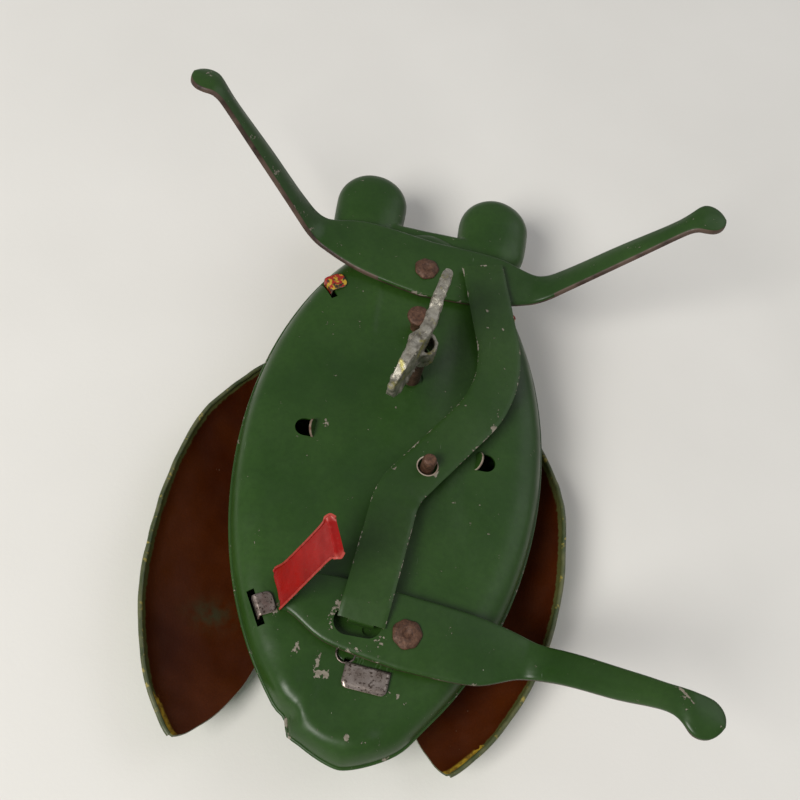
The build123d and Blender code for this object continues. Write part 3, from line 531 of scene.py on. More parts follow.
def litho(name):
    """Printed tin of the upper side: green with darker ribs, a yellow border and red spots under varnish."""
    s = Shade(name, coat=0.35)
    ground = s.mix(s.cloud(9.0, 0.35, 0.65), (0.030, 0.130, 0.024), (0.060, 0.200, 0.030))
    ribs = s.node("ShaderNodeTexWave", 0, {"bands_direction": "X"}, Vector=s.place, Scale=52.0,
                  Distortion=0.6, Detail=1.0)
    ground = s.mix(s.span(ribs, 0.80, 0.90, 0.0, 0.8), ground, (0.012, 0.050, 0.012))
    border = s.span(s.weight("edge"), 0.40, 0.46)
    ground = s.mix(border, ground, (0.52, 0.34, 0.03))
    outline = s.math("MULTIPLY", s.span(s.weight("edge"), 0.34, 0.36), s.span(s.weight("edge"), 0.42, 0.40))
    ground = s.mix(outline, ground, (0.015, 0.02, 0.012))
    spots = s.span(s.weight("spots"), 0.48, 0.52)
    ground = s.mix(spots, ground, (0.42, 0.030, 0.015))
    ring = s.math("MULTIPLY", s.span(s.weight("spots"), 0.38, 0.40), s.span(s.weight("spots"), 0.50, 0.48))
    ground = s.mix(ring, ground, (0.55, 0.40, 0.06))
    wear = s.uneven(s.weight("wear"), 0.8, 5.0, 1.0, 0.7)
    colour, rough = chipped(s, ground, (0.3,) * 3, s.span(wear, 0.5, 0.56))
    height = s.math("ADD", s.noise(3.0), s.math("MULTIPLY", s.cells(0.28), 0.05))
    return s.finish(colour, rough, s.normal(height, 0.05))


# ------------------------------------------------------------------ pressed forms
def station(form, t, inset=0.0):
    """Half width and place along the length of a form's outline, by angle from its widest place."""
    reach, power = (form["front"], FRONT_POWER) if t > 0 else (form["tail"], TAIL_POWER)
    return (form["wide"] - inset) * abs(cos(t)) ** power, WIDEST_Y + (reach - inset) * sin(t)


def ring(form, z, inset=0.0, share=1.0, count=176):
    """The outline at one height, drawn in by an inset and shrunk to a share of its size."""
    points = []
    for k in range(count + 1):
        turn = 2 * pi * (k % count + 0.5) / count
        wide, y = station(form, asin(sin(turn)), inset)
        points.append(((wide if cos(turn) > 0 else -wide) * share, WIDEST_Y + (y - WIDEST_Y) * share, z))
    return points


def dome_z(x, y, form):
    """Height of a rounded back at a place seen from above."""
    reach = form["front"] if y > WIDEST_Y else form["tail"]
    t = asin(max(-1, min(1, (y - WIDEST_Y) / reach)))
    return RIM_Z - form["deep"] * cos(t) * max(0, 1 - (x / station(form, t)[0]) ** 2) ** 0.5


def tidy(obj, up=None):
    """Weld a mesh's seams and turn its faces outward, or a sheet's faces up or down."""
    form = bmesh.new()
    form.from_mesh(obj.data)
    bmesh.ops.remove_doubles(form, verts=form.verts, dist=0.01 * MM)
    bmesh.ops.recalc_face_normals(form, faces=form.faces)
    if up is not None and (sum(f.normal.z * f.calc_area() for f in form.faces) > 0) != up:
        bmesh.ops.reverse_faces(form, faces=form.faces)
    form.to_mesh(obj.data)
    form.free()
    return obj


def away(place, line):
    """Distance in plan from a place to a line of points."""
    best = 1e9
    for a, b in zip(line, line[1:]):
        ab = (b[0] - a[0], b[1] - a[1])
        share = ((place[0] - a[0]) * ab[0] + (place[1] - a[1]) * ab[1]) / (ab[0] ** 2 + ab[1] ** 2)
        share = max(0, min(1, share))
        best = min(best, hypot(place[0] - a[0] - share * ab[0], place[1] - a[1] - share * ab[1]))
    return best


def bell(distance, width):
    """1 at no distance, fading to 0 over a width."""
    return 2.718 ** (-(distance / width) ** 2)


def roughly(place, size, seed=0.0):
    """Smooth noise from -1 to 1 with features of about a size in millimetres."""
    return noise.noise(Vector(place) / size + Vector((seed, 0, 0)))


def around(turn, z, size):
    """Smooth noise round an upright axis, for turned forms."""
    return roughly((2 * cos(turn), 2 * sin(turn), z), size)


def crease(obj, angle=38):
    """Smooth shading but for edges sharper than an angle."""
    obj.data.shade_smooth()
    obj.data.set_sharp_from_angle(angle=radians(angle))
    return obj


GREEN = green_enamel("belly_green", (0.0130, 0.042, 0.0045), (0.0235, 0.062, 0.0095))
LINK_GREEN = green_enamel("link_green", (0.0145, 0.043, 0.0055), (0.0245, 0.060, 0.0105))
LEG_GREEN = green_enamel("leg_green", (0.0130, 0.041, 0.0050), (0.0225, 0.059, 0.0090))
RED = red_enamel()
RAW = raw_edge("raw_edge", (0.22, 0.17, 0.13), (0.10, 0.045, 0.03), (0.36, 0.30, 0.24))
RUBBED = raw_edge("rubbed_edge", (0.048, 0.026, 0.018), (0.020, 0.012, 0.008), (0.085, 0.055, 0.040))
BARE = bare_tin()
TAB_PRINT = tab_print()
RUST = rust("rusty_iron")
DARK_RUST = rust("dark_rust", (0.035, 0.017, 0.010), (0.095, 0.052, 0.032))
CAST = cast_metal()
BRASS = turned_metal("gear_brass", (0.50, 0.34, 0.12), (0.24, 0.14, 0.05), 0.32)
STEEL = turned_metal("plain_steel", (0.36, 0.35, 0.33), (0.14, 0.10, 0.07), 0.36)
SPRING = turned_metal("spring_steel", (0.20, 0.21, 0.24), (0.10, 0.07, 0.05), 0.30)
WING_IN = wing_varnish("wing_inside", (0.062, 0.0125, 0.0010), (0.034, 0.0055, 0.0004))
WING_RIM = print_rim()
WING_OUT = litho("wing_print")
BACK_OUT = litho("back_print")

SPARE_HOLE = (-2.3, -38.2)
TAIL_RIDGE = [(-7.6, -48.9), (-5.7, -50.4), (-3.0, -51.7), (0.9, -51.9), (3.2, -51.2)]
TAIL_CREASE = [(-7.6, -48.9), (-6.9, -46.4), (-6.4, -43.5)]
LONG_CREASE = [(-8.3, 33.4), (-8.1, 21.9)]
PAN_CHIPS = [((-10.3, -38.6), (0.5, 1.3)), ((-8.4, -39.2), (0.4, 0.6)), ((-6.5, -40.2), (0.55, 1.7)),
             ((-4.4, -42.0), (1.8, 0.7)), ((-5.9, -42.6), (0.8, 0.5)), ((0.0, -51.1), (0.5, 0.5)),
             ((6.8, -43.5), (0.5, 0.4)), ((8.2, -44.6), (0.3, 0.5)), ((3.4, -35.2), (0.7, 0.9)),
             ((-12.6, 0.8), (0.5, 0.7)), ((-18.0, -29.6), (0.25, 0.6)), ((-20.2, -23.2), (0.3, 0.3)),
             ((-12.0, -35.2), (0.7, 0.4)), ((-16.7, -10.9), (0.13, 0.8)), ((-9.2, -49.6), (0.5, 0.4)),
             ((-14.8, -33.4), (0.4, 1.2)), ((8.6, -30.6), (0.4, 0.3))]      # place, half sizes


def chip_wear(place, chips):
    """How near a place is to any of some chips, from 0 to 1."""
    return max(bell(hypot((place.x - x) / wide, (place.y - y) / high), 1.0) for (x, y), (wide, high) in chips)


def pan_wear(place):
    """How worn the green belly is."""
    chips = 0.92 * chip_wear(place, PAN_CHIPS)
    rim = 0.30 * bell(place.z - RIM_Z, 0.5)
    bent = 0.30 * bell(away(place, TAIL_RIDGE), 0.5) + 0.1 * bell(away(place, LONG_CREASE), 0.4)
    return chips + rim + bent


def pan_shape(place):
    """Dents, ridges and creases of the old belly, as a move."""
    flat = min(1.0, max(0.0, (place.z - RIM_Z) / 2.0))
    up = 0.62 * bell(away(place, TAIL_RIDGE), 1.7) + 0.22 * bell(away(place, TAIL_CREASE), 0.7)
    up += 0.22 * bell(away(place, LONG_CREASE), 0.5)
    up += 0.75 * bell(hypot(place.x + 11.4, place.y + 45.0), 2.9)
    up -= 0.45 * bell(hypot((place.x - 8.6) / 2.6, (place.y - 17.5) / 8.0), 1.0)
    up -= 1.1 * bell(hypot(place.x + 8.9, place.y + 49.6), 1.5)
    up += 0.14 * roughly((place.x, place.y, 0), 9.0) + 0.07 * roughly((place.x, place.y, 3), 4.0)
    notch = 0.8 * bell(hypot(place.x + 9.6, place.y + 49.4), 1.8)
    kink = 0.30 * bell(hypot(place.x + 7.4, place.y + 51.4), 1.0)
    rounder = 0.14 * place.x * bell(place.y + 52.0, 3.2)
    return (notch * 0.8 - kink + rounder, notch * 0.6 - kink, up * flat)


def head_half(sign, green):
    """The neck and the two eye pillows on one side of the seam."""
    plan = NECK_PLAN + [(-x, y) for x, y in reversed(NECK_PLAN)]
    low, high = sorted((RIM_Z - 0.05 * sign, RIM_Z + sign * NECK_HEIGHT))
    parts = [modify(prism(plan, low, high), "BEVEL", width=1.0 * MM, segments=4, limit_method="ANGLE")]
    steps = [(-0.3, 0.99), (0.5, 0.995), (1.2, 0.975), (2.0, 0.92), (2.7, 0.82), (3.25, 0.68), (3.6, 0.52),
             (3.8, 0.34), (3.88, 0.16), (EYE_HEIGHT, 0.0)]
    for x, y in EYES:
        profile = [(max(EYE_RADIUS * share, 0.02), RIM_Z + sign * rise) for rise, share in steps]
        lobe = lathe("eye", x, y, profile, 64)
        reshape(lobe, lambda p, y=y: (0, -EYE_STRETCH * min(1.0, max(0.0, (y - p.y) / 1.5)), 0))
        parts.append(lobe)
    head = join("head", parts)
    modify(head, "REMESH", mode="VOXEL", voxel_size=0.28 * MM)
    modify(head, "SMOOTH", factor=0.5, iterations=12)
    reshape(head, lambda p: (0, 0, 0.10 * roughly(p, 4.0)))
    paint(head, green)
    head.data.shade_smooth()
    return head


def to_mesh(obj):
    """Turn a curve into a mesh."""
    mesh = bpy.data.meshes.new_from_object(obj.evaluated_get(bpy.context.evaluated_depsgraph_get()))
    made = bpy.data.objects.new(obj.name, mesh)
    bpy.context.scene.collection.objects.link(made)
    bpy.data.objects.remove(obj)
    return made


def lanced_plan(side):
    """Outline of the opening that a lanced lug leaves."""
    x, y = LANCED
    turns = [pi * k / 12 for k in range(13)]
    arc = [(x + LANCED_RADIUS * sin(turn), y - LANCED_RADIUS * cos(turn)) for turn in turns]
    inner_x = 14.7
    return [(side * u, v) for u, v in arc + [(inner_x, y + LANCED_RADIUS), (inner_x, y - LANCED_RADIUS)]]


def lanced_lug(side):
    """The half-round lug standing beside its opening, a little bent."""
    rows = []
    for height in (-0.4, 0.1, 0.6, 1.1, 1.5, 1.75):
        half = sqrt(max(0.12, 1.7 ** 2 - (height * 0.95) ** 2))
        rows.append([(side * (14.6 + 0.42 * height), LANCED[1] + half * u / 5, height) for u in range(-5, 6)])
    lug = tidy(piece("lug", *lattice(rows), GREEN, RAW))
    return modify(lug, "SOLIDIFY", thickness=0.38 * MM, offset=0, material_offset_rim=1)


def belly_pan():
    """The green underside with its dents, holes, lugs and rolled seam."""
    steps = [(-4.5, 0.0), (-3.5, 0.14), (-2.6, 0.45), (-1.75, 0.95), (-1.1, 1.6), (-0.6, 2.5), (-0.25, 3.6),
             (-0.06, 4.6), (0.0, 5.6)]
    rows = [ring(BODY, z, inset) for z, inset in smooth_line(steps, 3)]
    rows += [ring(BODY, 0.0, 5.6, 1 - k / 30) for k in range(1, 30)]
    rows.append([(0.0, WIDEST_Y, 0.0)] * len(rows[0]))
    pan = tidy(piece("belly_pan_tin", *lattice(rows), GREEN, RAW), up=True)
    reshape(pan, pan_shape)
    modify(pan, "SOLIDIFY", thickness=TIN * MM, offset=-1)
    holes = [prism(round_plan(*CRANK_HOLE), -3, 2), prism(round_plan(*ARBOR, ARBOR_HOLE), -3, 2)]
    holes += [prism(lanced_plan(side), -2, 2) for side in (-1, 1)]
    for x, y, direction, width, reach in TABS:
        long = width + (2.6 if width < 5 else 0.6)
        holes.append(prism(slot_plan(x, y, direction, long, TAB_SLOT), -3.5, 2))
    holes += [prism(round_plan(*SPARE_HOLE, 1.5), -2, 2), prism(round_plan(0.6, -33.8, 0.95), -2, 2)]
    cut(pan, holes)
    parts = [crease(pan)] + [lanced_lug(side) for side in (-1, 1)]
    seam = []
    for point in ring(BODY, RIM_Z, -0.02)[:-1]:
        across, along, up = pan_shape(Vector(point))
        seam.append((point[0] + across, point[1] + along, RIM_Z + 0.05 * roughly(point, 5.0)))
    parts.append(to_mesh(bead("seam", seam, 0.34, GREEN)))
    parts.append(head_half(1, GREEN))
    lip = [(x, y, 0.05) for x, y in round_plan(*SPARE_HOLE, 1.55)]
    parts.append(to_mesh(bead("hole_lip", lip, 0.16, BARE)))
    whole = join("belly_pan_tin", parts)
    weigh(whole, "wear", pan_wear)
    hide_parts("belly_pan")
    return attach(whole, "shell")


def eye_mark(place):
    """Round marks where the print shows the eyes and the back's red spots."""
    centres = [(*EYES[0], 4.2), (*EYES[1], 4.2), (0, 8, 5.0), (0, -14, 5.0), (0, -34, 3.6)]
    return max(1 - hypot(place.x - x, place.y - y) / (2 * size) for x, y, size in centres)


def back_shell():
    """The printed back: domed, with the head's upper half."""
    rows = []
    for k in range(97):
        t = radians(-88.5 + 177 * k / 96)
        wide, y = station(BODY, t)
        deep = BODY["deep"] * cos(t)
        rows.append([(wide * cos(a), y, RIM_Z - deep * sin(a)) for a in (pi * j / 48 for j in range(49))])
    shell = tidy(piece("back_shell_tin", *lattice(rows), BACK_OUT, RAW), up=False)
    reshape(shell, lambda p: (*[0.8 * move * bell(p.z - RIM_Z, 4.0) for move in pan_shape(p)[:2]],
                              0.12 * roughly(p, 8.0)))
    modify(shell, "SOLIDIFY", thickness=TIN * MM, offset=-1)
    whole = join("back_shell_tin", [crease(shell), head_half(-1, BACK_OUT)])
    weigh(whole, "edge", lambda p: 0.75 * bell(RIM_Z - p.z, 2.2) if p.y < 44 else 0.0)
    weigh(whole, "spots", eye_mark)
    weigh(whole, "wear", lambda p: 0.30 * bell(p.z - RIM_Z, 0.6) + 0.12 * roughly(p, 12.0)
          + 0.35 * bell(abs(RIM_Z - 12.0 - p.z), 0.8))
    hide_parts("back_shell")
    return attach(whole, "shell")


def folded_tab(name, number, red, lift=0.0):
    """One of the back's tabs, up through its slot and folded down on the belly."""
    x, y, direction, width, reach = TABS[number]
    c, s = cos(radians(direction)), sin(radians(direction))
    path = [(0.0, -1.6), (0.0, -0.35), (0.06, 0.10), (0.45, 0.36 + lift), (reach * 0.5, 0.30 + lift),
            (reach - 0.9, 0.26 + lift), (reach - 0.35, 0.24), (reach, 0.22)]
    path = smooth_line(path, 4)
    rows = []
    for u, z in path:
        corner = max(0.0, u - (reach - 1.0))
        half = width / 2 - (1.0 - sqrt(max(0.0, 1.0 - min(corner, 1.0) ** 2)))
        rows.append([(x + c * u - s * v, y + s * u + c * v, z + 0.06 * roughly((u, v, number), 1.5))
                     for v in (half * k / 6 for k in range(-6, 7))])
    tab = tidy(piece(name, *lattice(rows), TAB_PRINT if red else BARE, RAW))
    modify(tab, "SOLIDIFY", thickness=TAB_SHEET * MM, offset=0, material_offset_rim=1)
    weigh(tab, "edge", lambda p: 0.25)
    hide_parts("back_shell")
    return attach(tab, "shell")


# ------------------------------------------------------------------ wing covers
def wing_edges(length):
    """The right cover's inner and outer edges in plan, shoulder to tip, wings closed."""
    def rear(points):
        return [(x, y if y > WING_TAPER_Y else WING_TAPER_Y + (y - WING_TAPER_Y) * length) for x, y in points]

    outer = rear([(5.0, 33.0), (9.0, 33.5), (17.5, 20.5), (23.6, 9.0), (26.9, -3.0), (26.7, -13.0),
                  (25.0, -23.0), (22.0, -33.0), (18.0, -41.5), (12.0, -50.0), (7.0, -54.6), (4.6, -56.3),
                  (3.4, -56.55)])
    inner = rear([(5.0, 33.0), (2.6, 31.2), (1.3, 28.0), (1.0, 24.0), (1.0, 6.0), (1.0, -12.0), (0.4, -21.0),
                  (-1.6, -31.0), (-2.6, -41.0), (-1.0, -49.0), (1.0, -53.2), (2.0, -55.0), (3.4, -56.55)])
    return spread(smooth_line(inner, 6), 120), spread(smooth_line(outer, 6), 120)


def wing(side, name, node, body):
    """A wing cover: printed outside, varnished inside, with a rolled edge."""
    turn, length = radians(WING_TURNS[side]), WING_LENGTHS[side]
    pivot = (side * WING_PIVOT[0], WING_PIVOT[1])

    def rest(x, y, z):
        u, v = side * x - pivot[0], y - pivot[1]
        return (pivot[0] + u * cos(turn) - v * sin(turn), pivot[1] + u * sin(turn) + v * cos(turn), z)

    inner, outer = wing_edges(length)
    tip_y = WING_TIP_Y[side]
    rows, rim, edge, tips = [], [], [], []
    for k, (a, b) in enumerate(zip(inner, outer)):
        row = []
        for j in range(37):
            share = 0.5 - 0.5 * cos(pi * j / 36)
            x, y = a[0] + (b[0] - a[0]) * share, a[1] + (b[1] - a[1]) * share
            z = min(dome_z(x, y, WING_DOME), RIM_Z - 1.1)
            z += 0.30 * roughly((x, y, side * 7), 9.0) + 0.10 * roughly((x, y, side * 3), 3.0)
            far = hypot(b[0] - x, b[1] - y)
            z += 0.45 * bell(far, 1.1)
            row.append(rest(x, y, z))
            edge.append(bell(far, 1.25))
            tips.append(1.2 * bell(y - tip_y, 5.0))
        rows.append(row)
        if 6 < k < 119:
            kink = 0.12 * roughly((b[0], b[1], side), 3.0)
            x, y, z = b[0] - 0.30 + kink, b[1], min(dome_z(*b, WING_DOME), RIM_Z - 1.1) + 0.55 + kink
            rim.append(rest(x, y, z))
    leaf = piece(name, *lattice(rows), WING_OUT, WING_IN, WING_RIM)
    mark(leaf, "edge", edge)
    mark(leaf, "tip", tips)
    tidy(leaf, up=False)
    modify(leaf, "SOLIDIFY", thickness=TIN * MM, offset=-1, material_offset=1, material_offset_rim=2)
    crease(leaf)
    roll = to_mesh(bead("roll", rim, 0.42, WING_RIM, closed=False))
    weigh(roll, "edge", lambda p: 1.0)
    weigh(roll, "tip", lambda p: 0.0)
    whole = join(name, [leaf, roll])
    smudge = (-25.5, -32.0) if side < 0 else (20.0, -30.0)
    weigh(whole, "smudge", lambda p: bell(hypot((p.x - smudge[0]) / 3.6, (p.y - smudge[1]) / 2.4), 1.0))
    weigh(whole, "spots", lambda p: max(1 - hypot(p.x - pivot[0] - side * sx, p.y - sy) / (2 * size)
                                        for sx, sy, size in ((11, 2, 4.0), (12, -20, 4.4), (6, -38, 3.2))))
    weigh(whole, "wear", lambda p: 0.26 * bell(p.z + 18.1, 1.2) + 0.1 * roughly(p, 10.0))
    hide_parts(node)
    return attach(whole, body)


# ------------------------------------------------------------------ legs
def ramp(leg):
    """Height and slope of a leg strip along X, as a function."""
    start, end = leg["elbow"] * 0.96, leg["reach"] - 6.6
    steep = (FOOT_Z - LEG_Z) / (end - start)
    first, second = 2.2, 1.35

    def at(x):
        x = abs(x)
        z, slope = LEG_Z + steep * (x - start), steep
        if x < start - first:
            z, slope = LEG_Z, 0.0
        elif x < start + first:
            share = (x - start + first) / (2 * first)
            z, slope = LEG_Z + steep * first * share ** 2, steep * share
        elif x > end + second:
            z, slope = FOOT_Z, 0.0
        elif x > end - second:
            share = (end + second - x) / (2 * second)
            z, slope = FOOT_Z - steep * second * share ** 2, steep * share
        return z, slope
    return at


def leg_edges(leg, bulge):
    """Head side and tail side of one leg in plan from its pivot; bulge swells the foot to one side."""
    upper, lower, waist, foot = leg["head_side"], leg["tail_side"], leg["waist"], leg["foot"]
    ex, ey = leg["elbow"] * cos(radians(leg["elbow_rise"])), leg["elbow"] * sin(radians(leg["elbow_rise"]))
    fx, fy = leg["reach"] * cos(radians(leg["foot_rise"])), leg["reach"] * sin(radians(leg["foot_rise"]))
    along, length = atan2(fy - ey, fx - ex), hypot(fx - ex, fy - ey)

    ankle, neck = 1 - foot / length, 1 - 2.5 * foot / length

    def beside(share, off):
        u = share * length
        return (ex + u * cos(along) - off * sin(along), ey + u * sin(along) + off * cos(along))

    def edge(side, start, shoulder, elbow):
        swell = foot * (1 + side * 0.16 * bulge)
        arm = [(0, start), (ex * 0.55, ey * 0.45 + shoulder), beside(0, side * waist * elbow),
               beside(0.45, side * waist), beside(neck, side * waist * (0.84 + side * 0.04 * bulge))]
        toe = [beside(ankle + foot * sin(turn) / length, side * swell * cos(turn))
               for turn in (radians(degrees) for degrees in (-18, 8, 33, 56, 76))]
        return spread(smooth_line(arm + toe + [beside(1, 0)], 8), 110)

    return edge(1, upper, 0.86 * upper, 1.25), edge(-1, -lower, -0.94 * lower, 1.3)


# a leg strip's turned edge: distance in from the edge, height
SECTION = [(0.0, -FLANGE), (0.0, -0.55), (0.05, -0.25), (0.28, -0.06), (0.7, 0.03)]


def strip_row(a, b, at, crown, mirror=1):
    """One row of points across a leg strip between its two edges, flanges first and last."""
    width = hypot(b[0] - a[0], b[1] - a[1])
    stops = [(min(d / max(width, 0.01), 0.49), h) for d, h in SECTION]
    inside = [k / 10 for k in range(1, 10)]
    first, last = stops[-1][0], 1 - stops[-1][0]
    profile = stops + [(first + (last - first) * s, 0.03 + crown * (1 - (2 * s - 1) ** 2)) for s in inside]
    profile += [(1 - share, h) for share, h in reversed(stops)]
    row = []
    for share, h in profile:
        x, y = a[0] + (b[0] - a[0]) * share, a[1] + (b[1] - a[1]) * share
        z, slope = at(x)
        sink = 1 / sqrt(1 + slope ** 2)
        h = h * min(1.0, 0.35 + width / 3) + LEG_SHEET
        row.append((mirror * (x - h * slope * sink), y, z + h * sink))
    return row


def stood(turn, pivot, rows):
    """Rows drawn about a pivot, where they stand at rest."""
    c, s = cos(radians(turn)), sin(radians(turn))
    return [[(pivot[0] + c * x - s * y, pivot[1] + s * x + c * y, z) for x, y, z in row] for row in rows]


def leg_rows(leg, bulge, mirror, roll=0.0):
    """All rows of one leg, pivot to foot; roll lifts the arm's tail side, in degrees."""
    at = ramp(leg)
    head, tail = leg_edges(leg, bulge)
    rows = []
    for a, b in zip(head, tail):
        width = hypot(b[0] - a[0], b[1] - a[1])
        row = strip_row(a, b, at, 0.34 * min(1.0, width / 6.0), mirror)
        share = min(1.0, max(0.0, (a[0] + b[0]) / (2 * leg["elbow"]) - 0.75) / 0.45)
        turn = radians(roll) * share
        middle = Vector(row[len(row) // 2])
        side = Vector((mirror * (b[0] - a[0]), b[1] - a[1], 0)) / max(width, 0.01)
        lifted = []
        for point in row:
            off = (Vector(point) - middle).dot(side)
            drop = point[2] - middle.z
            move = side * (off * (cos(turn) - 1) - drop * sin(turn)) + Vector((0, 0, off * sin(turn)))
            lifted.append(tuple(Vector(point) + move))
        rows.append(lifted)
    return rows


def edge_shares(points_wide):
    """Share of the way from a strip's middle to its edge, by column, for the materials."""
    middle = (points_wide - 1) / 2
    return [abs(k - middle) / middle for k in range(points_wide)]


def leg_piece(name, rows, rusty):
    """A sheet strip from its rows, green above and red below; rusty says where its tail edge is bare."""
    strip = piece(name, *lattice(rows), LEG_GREEN, RED, RUBBED)
    mark(strip, "edge", edge_shares(len(rows[0])) * len(rows))
    wide = len(rows[0]) - 1
    for face in strip.data.polygons:
        column = face.index % wide
        deep = 3 if rusty(local(strip.data.vertices[face.vertices[0]])) else 1
        if column >= wide - deep or column < 1:
            face.material_index = 2
    tidy(strip, up=True)
    modify(strip, "SOLIDIFY", thickness=LEG_TIN * MM, offset=-1, material_offset=1, material_offset_rim=2)
    return crease(strip, STRIP_CREASE)


def pierce(strip, pivot, slot):
    """Cut a strip's rivet hole and the slot for the link's folded end."""
    cut(strip, [prism(round_plan(*pivot, RIVET_HOLE), 0, 4), prism(slot, 0, 4)])
    crease(strip, STRIP_CREASE)


def front_legs():
    """Both front legs in one pressed strip."""
    right = leg_rows(FRONT_LEG, 1, 1)
    left = leg_rows(FRONT_LEG, 0.3, -1, 12.0)
    rows = stood(FRONT_TURN, FRONT_PIVOT, left[:0:-1] + right)
    strip = leg_piece("front_leg_strip", rows, lambda p: p.x < -9 or p.x > 24)
    pierce(strip, FRONT_PIVOT, oval_plan(*LINK_ROUTE[0], *FRONT_SLOT))
    lens_low = [(-14.0, 31.5), (-6.0, 30.2), (4.0, 29.6), (14.0, 30.4)]

    def worn(p):
        turned = 0.34 * bell(p.z - 1.0, 0.5) if p.z < 2.6 else 0.0
        edge = 0.72 * bell(away(p, lens_low), 0.9) if p.y < 33 else 0.0
        arm = 0.0 if p.z <= 4 else 0.15 if p.x < 0 else 0.06
        return turned + edge + arm + 0.1 * roughly(p, 3.0)

    weigh(strip, "wear", worn)
    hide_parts("front_legs")
    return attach(strip, "front_legs")


def bent_leg():
    """The left rear leg, folded up over the belly: rows from its fold to its foot lip."""
    face = BENT_ACROSS.cross(BENT_UP).normalized()
    foot = BENT_FOLD + BENT_UP * BENT_LENGTH
    lip = (BENT_UP * 0.5 - face * 0.866) * BENT_LIP
    path = [BENT_FOLD - BENT_HEADING * 2.0, BENT_FOLD - BENT_HEADING * 0.7,
            BENT_FOLD + BENT_HEADING * 0.15 + Vector((0, 0, 0.35)),
            BENT_FOLD + BENT_HEADING * 0.10 + BENT_UP * 1.6]
    path += [BENT_FOLD + BENT_UP * rise for rise in (5.0, 11.0, 17.0)]
    path += [foot - BENT_UP * 0.9, foot, foot + lip * 0.5, foot + lip]
    halves = [3.4, 3.3, 3.2, 3.1, 3.0, 2.95, 2.9, 3.0, 3.5, 3.7, 3.0]
    line = smooth_line([(*p, h) for p, h in zip(path, halves)], 6)
    rows = []
    for k, (x, y, z, half) in enumerate(line):
        before, after = Vector(line[max(0, k - 1)][:3]), Vector(line[min(len(line) - 1, k + 1)][:3])
        out = (after - before).normalized().cross(BENT_ACROSS).normalized()
        row = []
        for j in range(-8, 9):
            u = j / 8
            edge_drop = 0.40 * max(0.0, abs(u) - 0.80) / 0.20
            lift = 0.16 * (1 - u * u) - edge_drop + 0.06 * roughly((x, y, z + j), 2.0)
            lobe = 0.30 * bell(k - 16, 7.0) if u < -0.8 else 0.0
            off = half * (max(-0.93, min(0.93, u * 1.05)) - lobe)
            row.append(tuple(Vector((x, y, z)) + BENT_ACROSS * off + out * (lift + 2.5 * lobe)))
        rows.append(row)
    return rows


def rear_legs():
    """The rear strip: a good right leg, and the left one bent up at a fold."""
    right = stood(REAR_TURN, REAR_PIVOT, leg_rows(REAR_LEG, -1, 1))
    left = stood(REAR_TURN, REAR_PIVOT, leg_rows(REAR_LEG, -1, -1))
    flat = [row for row in left if (Vector(row[len(row) // 2]) - BENT_FOLD).dot(BENT_HEADING) < -0.6]
    strip = leg_piece("rear_leg_strip", flat[:0:-1] + right, lambda p: False)
    link_end = LINK_ROUTE[-1]
    pierce(strip, REAR_PIVOT, oval_plan(link_end[0] + REAR_SLOT_SHIFT, link_end[1], *REAR_SLOT))
    scratch = [(44.2, -40.2), (45.2, -41.6), (46.3, -42.9)]

    def worn(p):
        foot = 0.75 * bell(away(p, scratch), 0.17) if p.z > 20 else 0.0
        slot_edge = 0.42 * bell(hypot(p.x + 1.4, p.y + 33.6) - 4.4, 0.7)
        flange = 0.16 if p.z < 1.75 else 0.0
        return foot + 0.16 * roughly(p, 3.5) + slot_edge + flange

    weigh(strip, "wear", worn)
    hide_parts("rear_legs")
    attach(strip, "rear_legs")
    rows = bent_leg()
    arm = piece("bent_leg_strip", *lattice(rows), RED, LEG_GREEN, RAW)
    # painted highlight: these edge weights turn the bent leg's red face pink towards its sides and, more
    # strongly, on the foot lip
    edge_highlight = [max(0.0, share - 0.6) * 2.2 for share in edge_shares(len(rows[0]))]
    lip_highlight = 0.55
    mark(arm, "edge", [edge + (lip_highlight if k > 46 else 0.0) for k in range(len(rows)) for edge in edge_highlight])
    weigh(arm, "wear", lambda p: 0.2)
    modify(arm, "SOLIDIFY", thickness=BENT_SHEET * MM, offset=0, material_offset=1)
    crease(arm, STRIP_CREASE)
    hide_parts("rear_legs")
    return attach(arm, "rear_legs")


# ------------------------------------------------------------------ connecting link, pin, rivets and key
def rounded(points, radii):
    """A line with its inner corners rounded."""
    line = [points[0]]
    for before, corner, after, radius in zip(points, points[1:], points[2:], radii):
        a, b = (Vector(before) - Vector(corner)).normalized(), (Vector(after) - Vector(corner)).normalized()
        half = a.angle(b) / 2
        cut_back = radius / (sin(half) / cos(half))
        centre = Vector(corner) + (a + b).normalized() * (radius / sin(half))
        start, end = Vector(corner) + a * cut_back - centre, Vector(corner) + b * cut_back - centre
        for k in range(17):
            mixed = start.lerp(end, k / 16).normalized() * radius
            line.append(tuple(centre + mixed))
    return line + [points[-1]]


def link_tab(end, inner, top):
    """An end of the link, folded down; inner is a point of the link a little before the end."""
    out = (Vector(end) - Vector(inner)).normalized()
    side = Vector((-out.y, out.x))
    path = [(-0.9, top - 0.3), (-0.1, top - 0.3), (0.22, top - 0.7), (0.22, 1.0)]
    rows = []
    for u, z in smooth_line(path, 4):
        base = Vector(end) + out * (u - 0.25)
        rows.append([(*(base + side * LINK_TAB / 2 * j / 5), z) for j in range(-5, 6)])
    tab = tidy(piece("link_tab", *lattice(rows), LINK_GREEN, LINK_GREEN, RAW))
    return crease(modify(tab, "SOLIDIFY", thickness=0.42 * MM, offset=0, material_offset_rim=2))


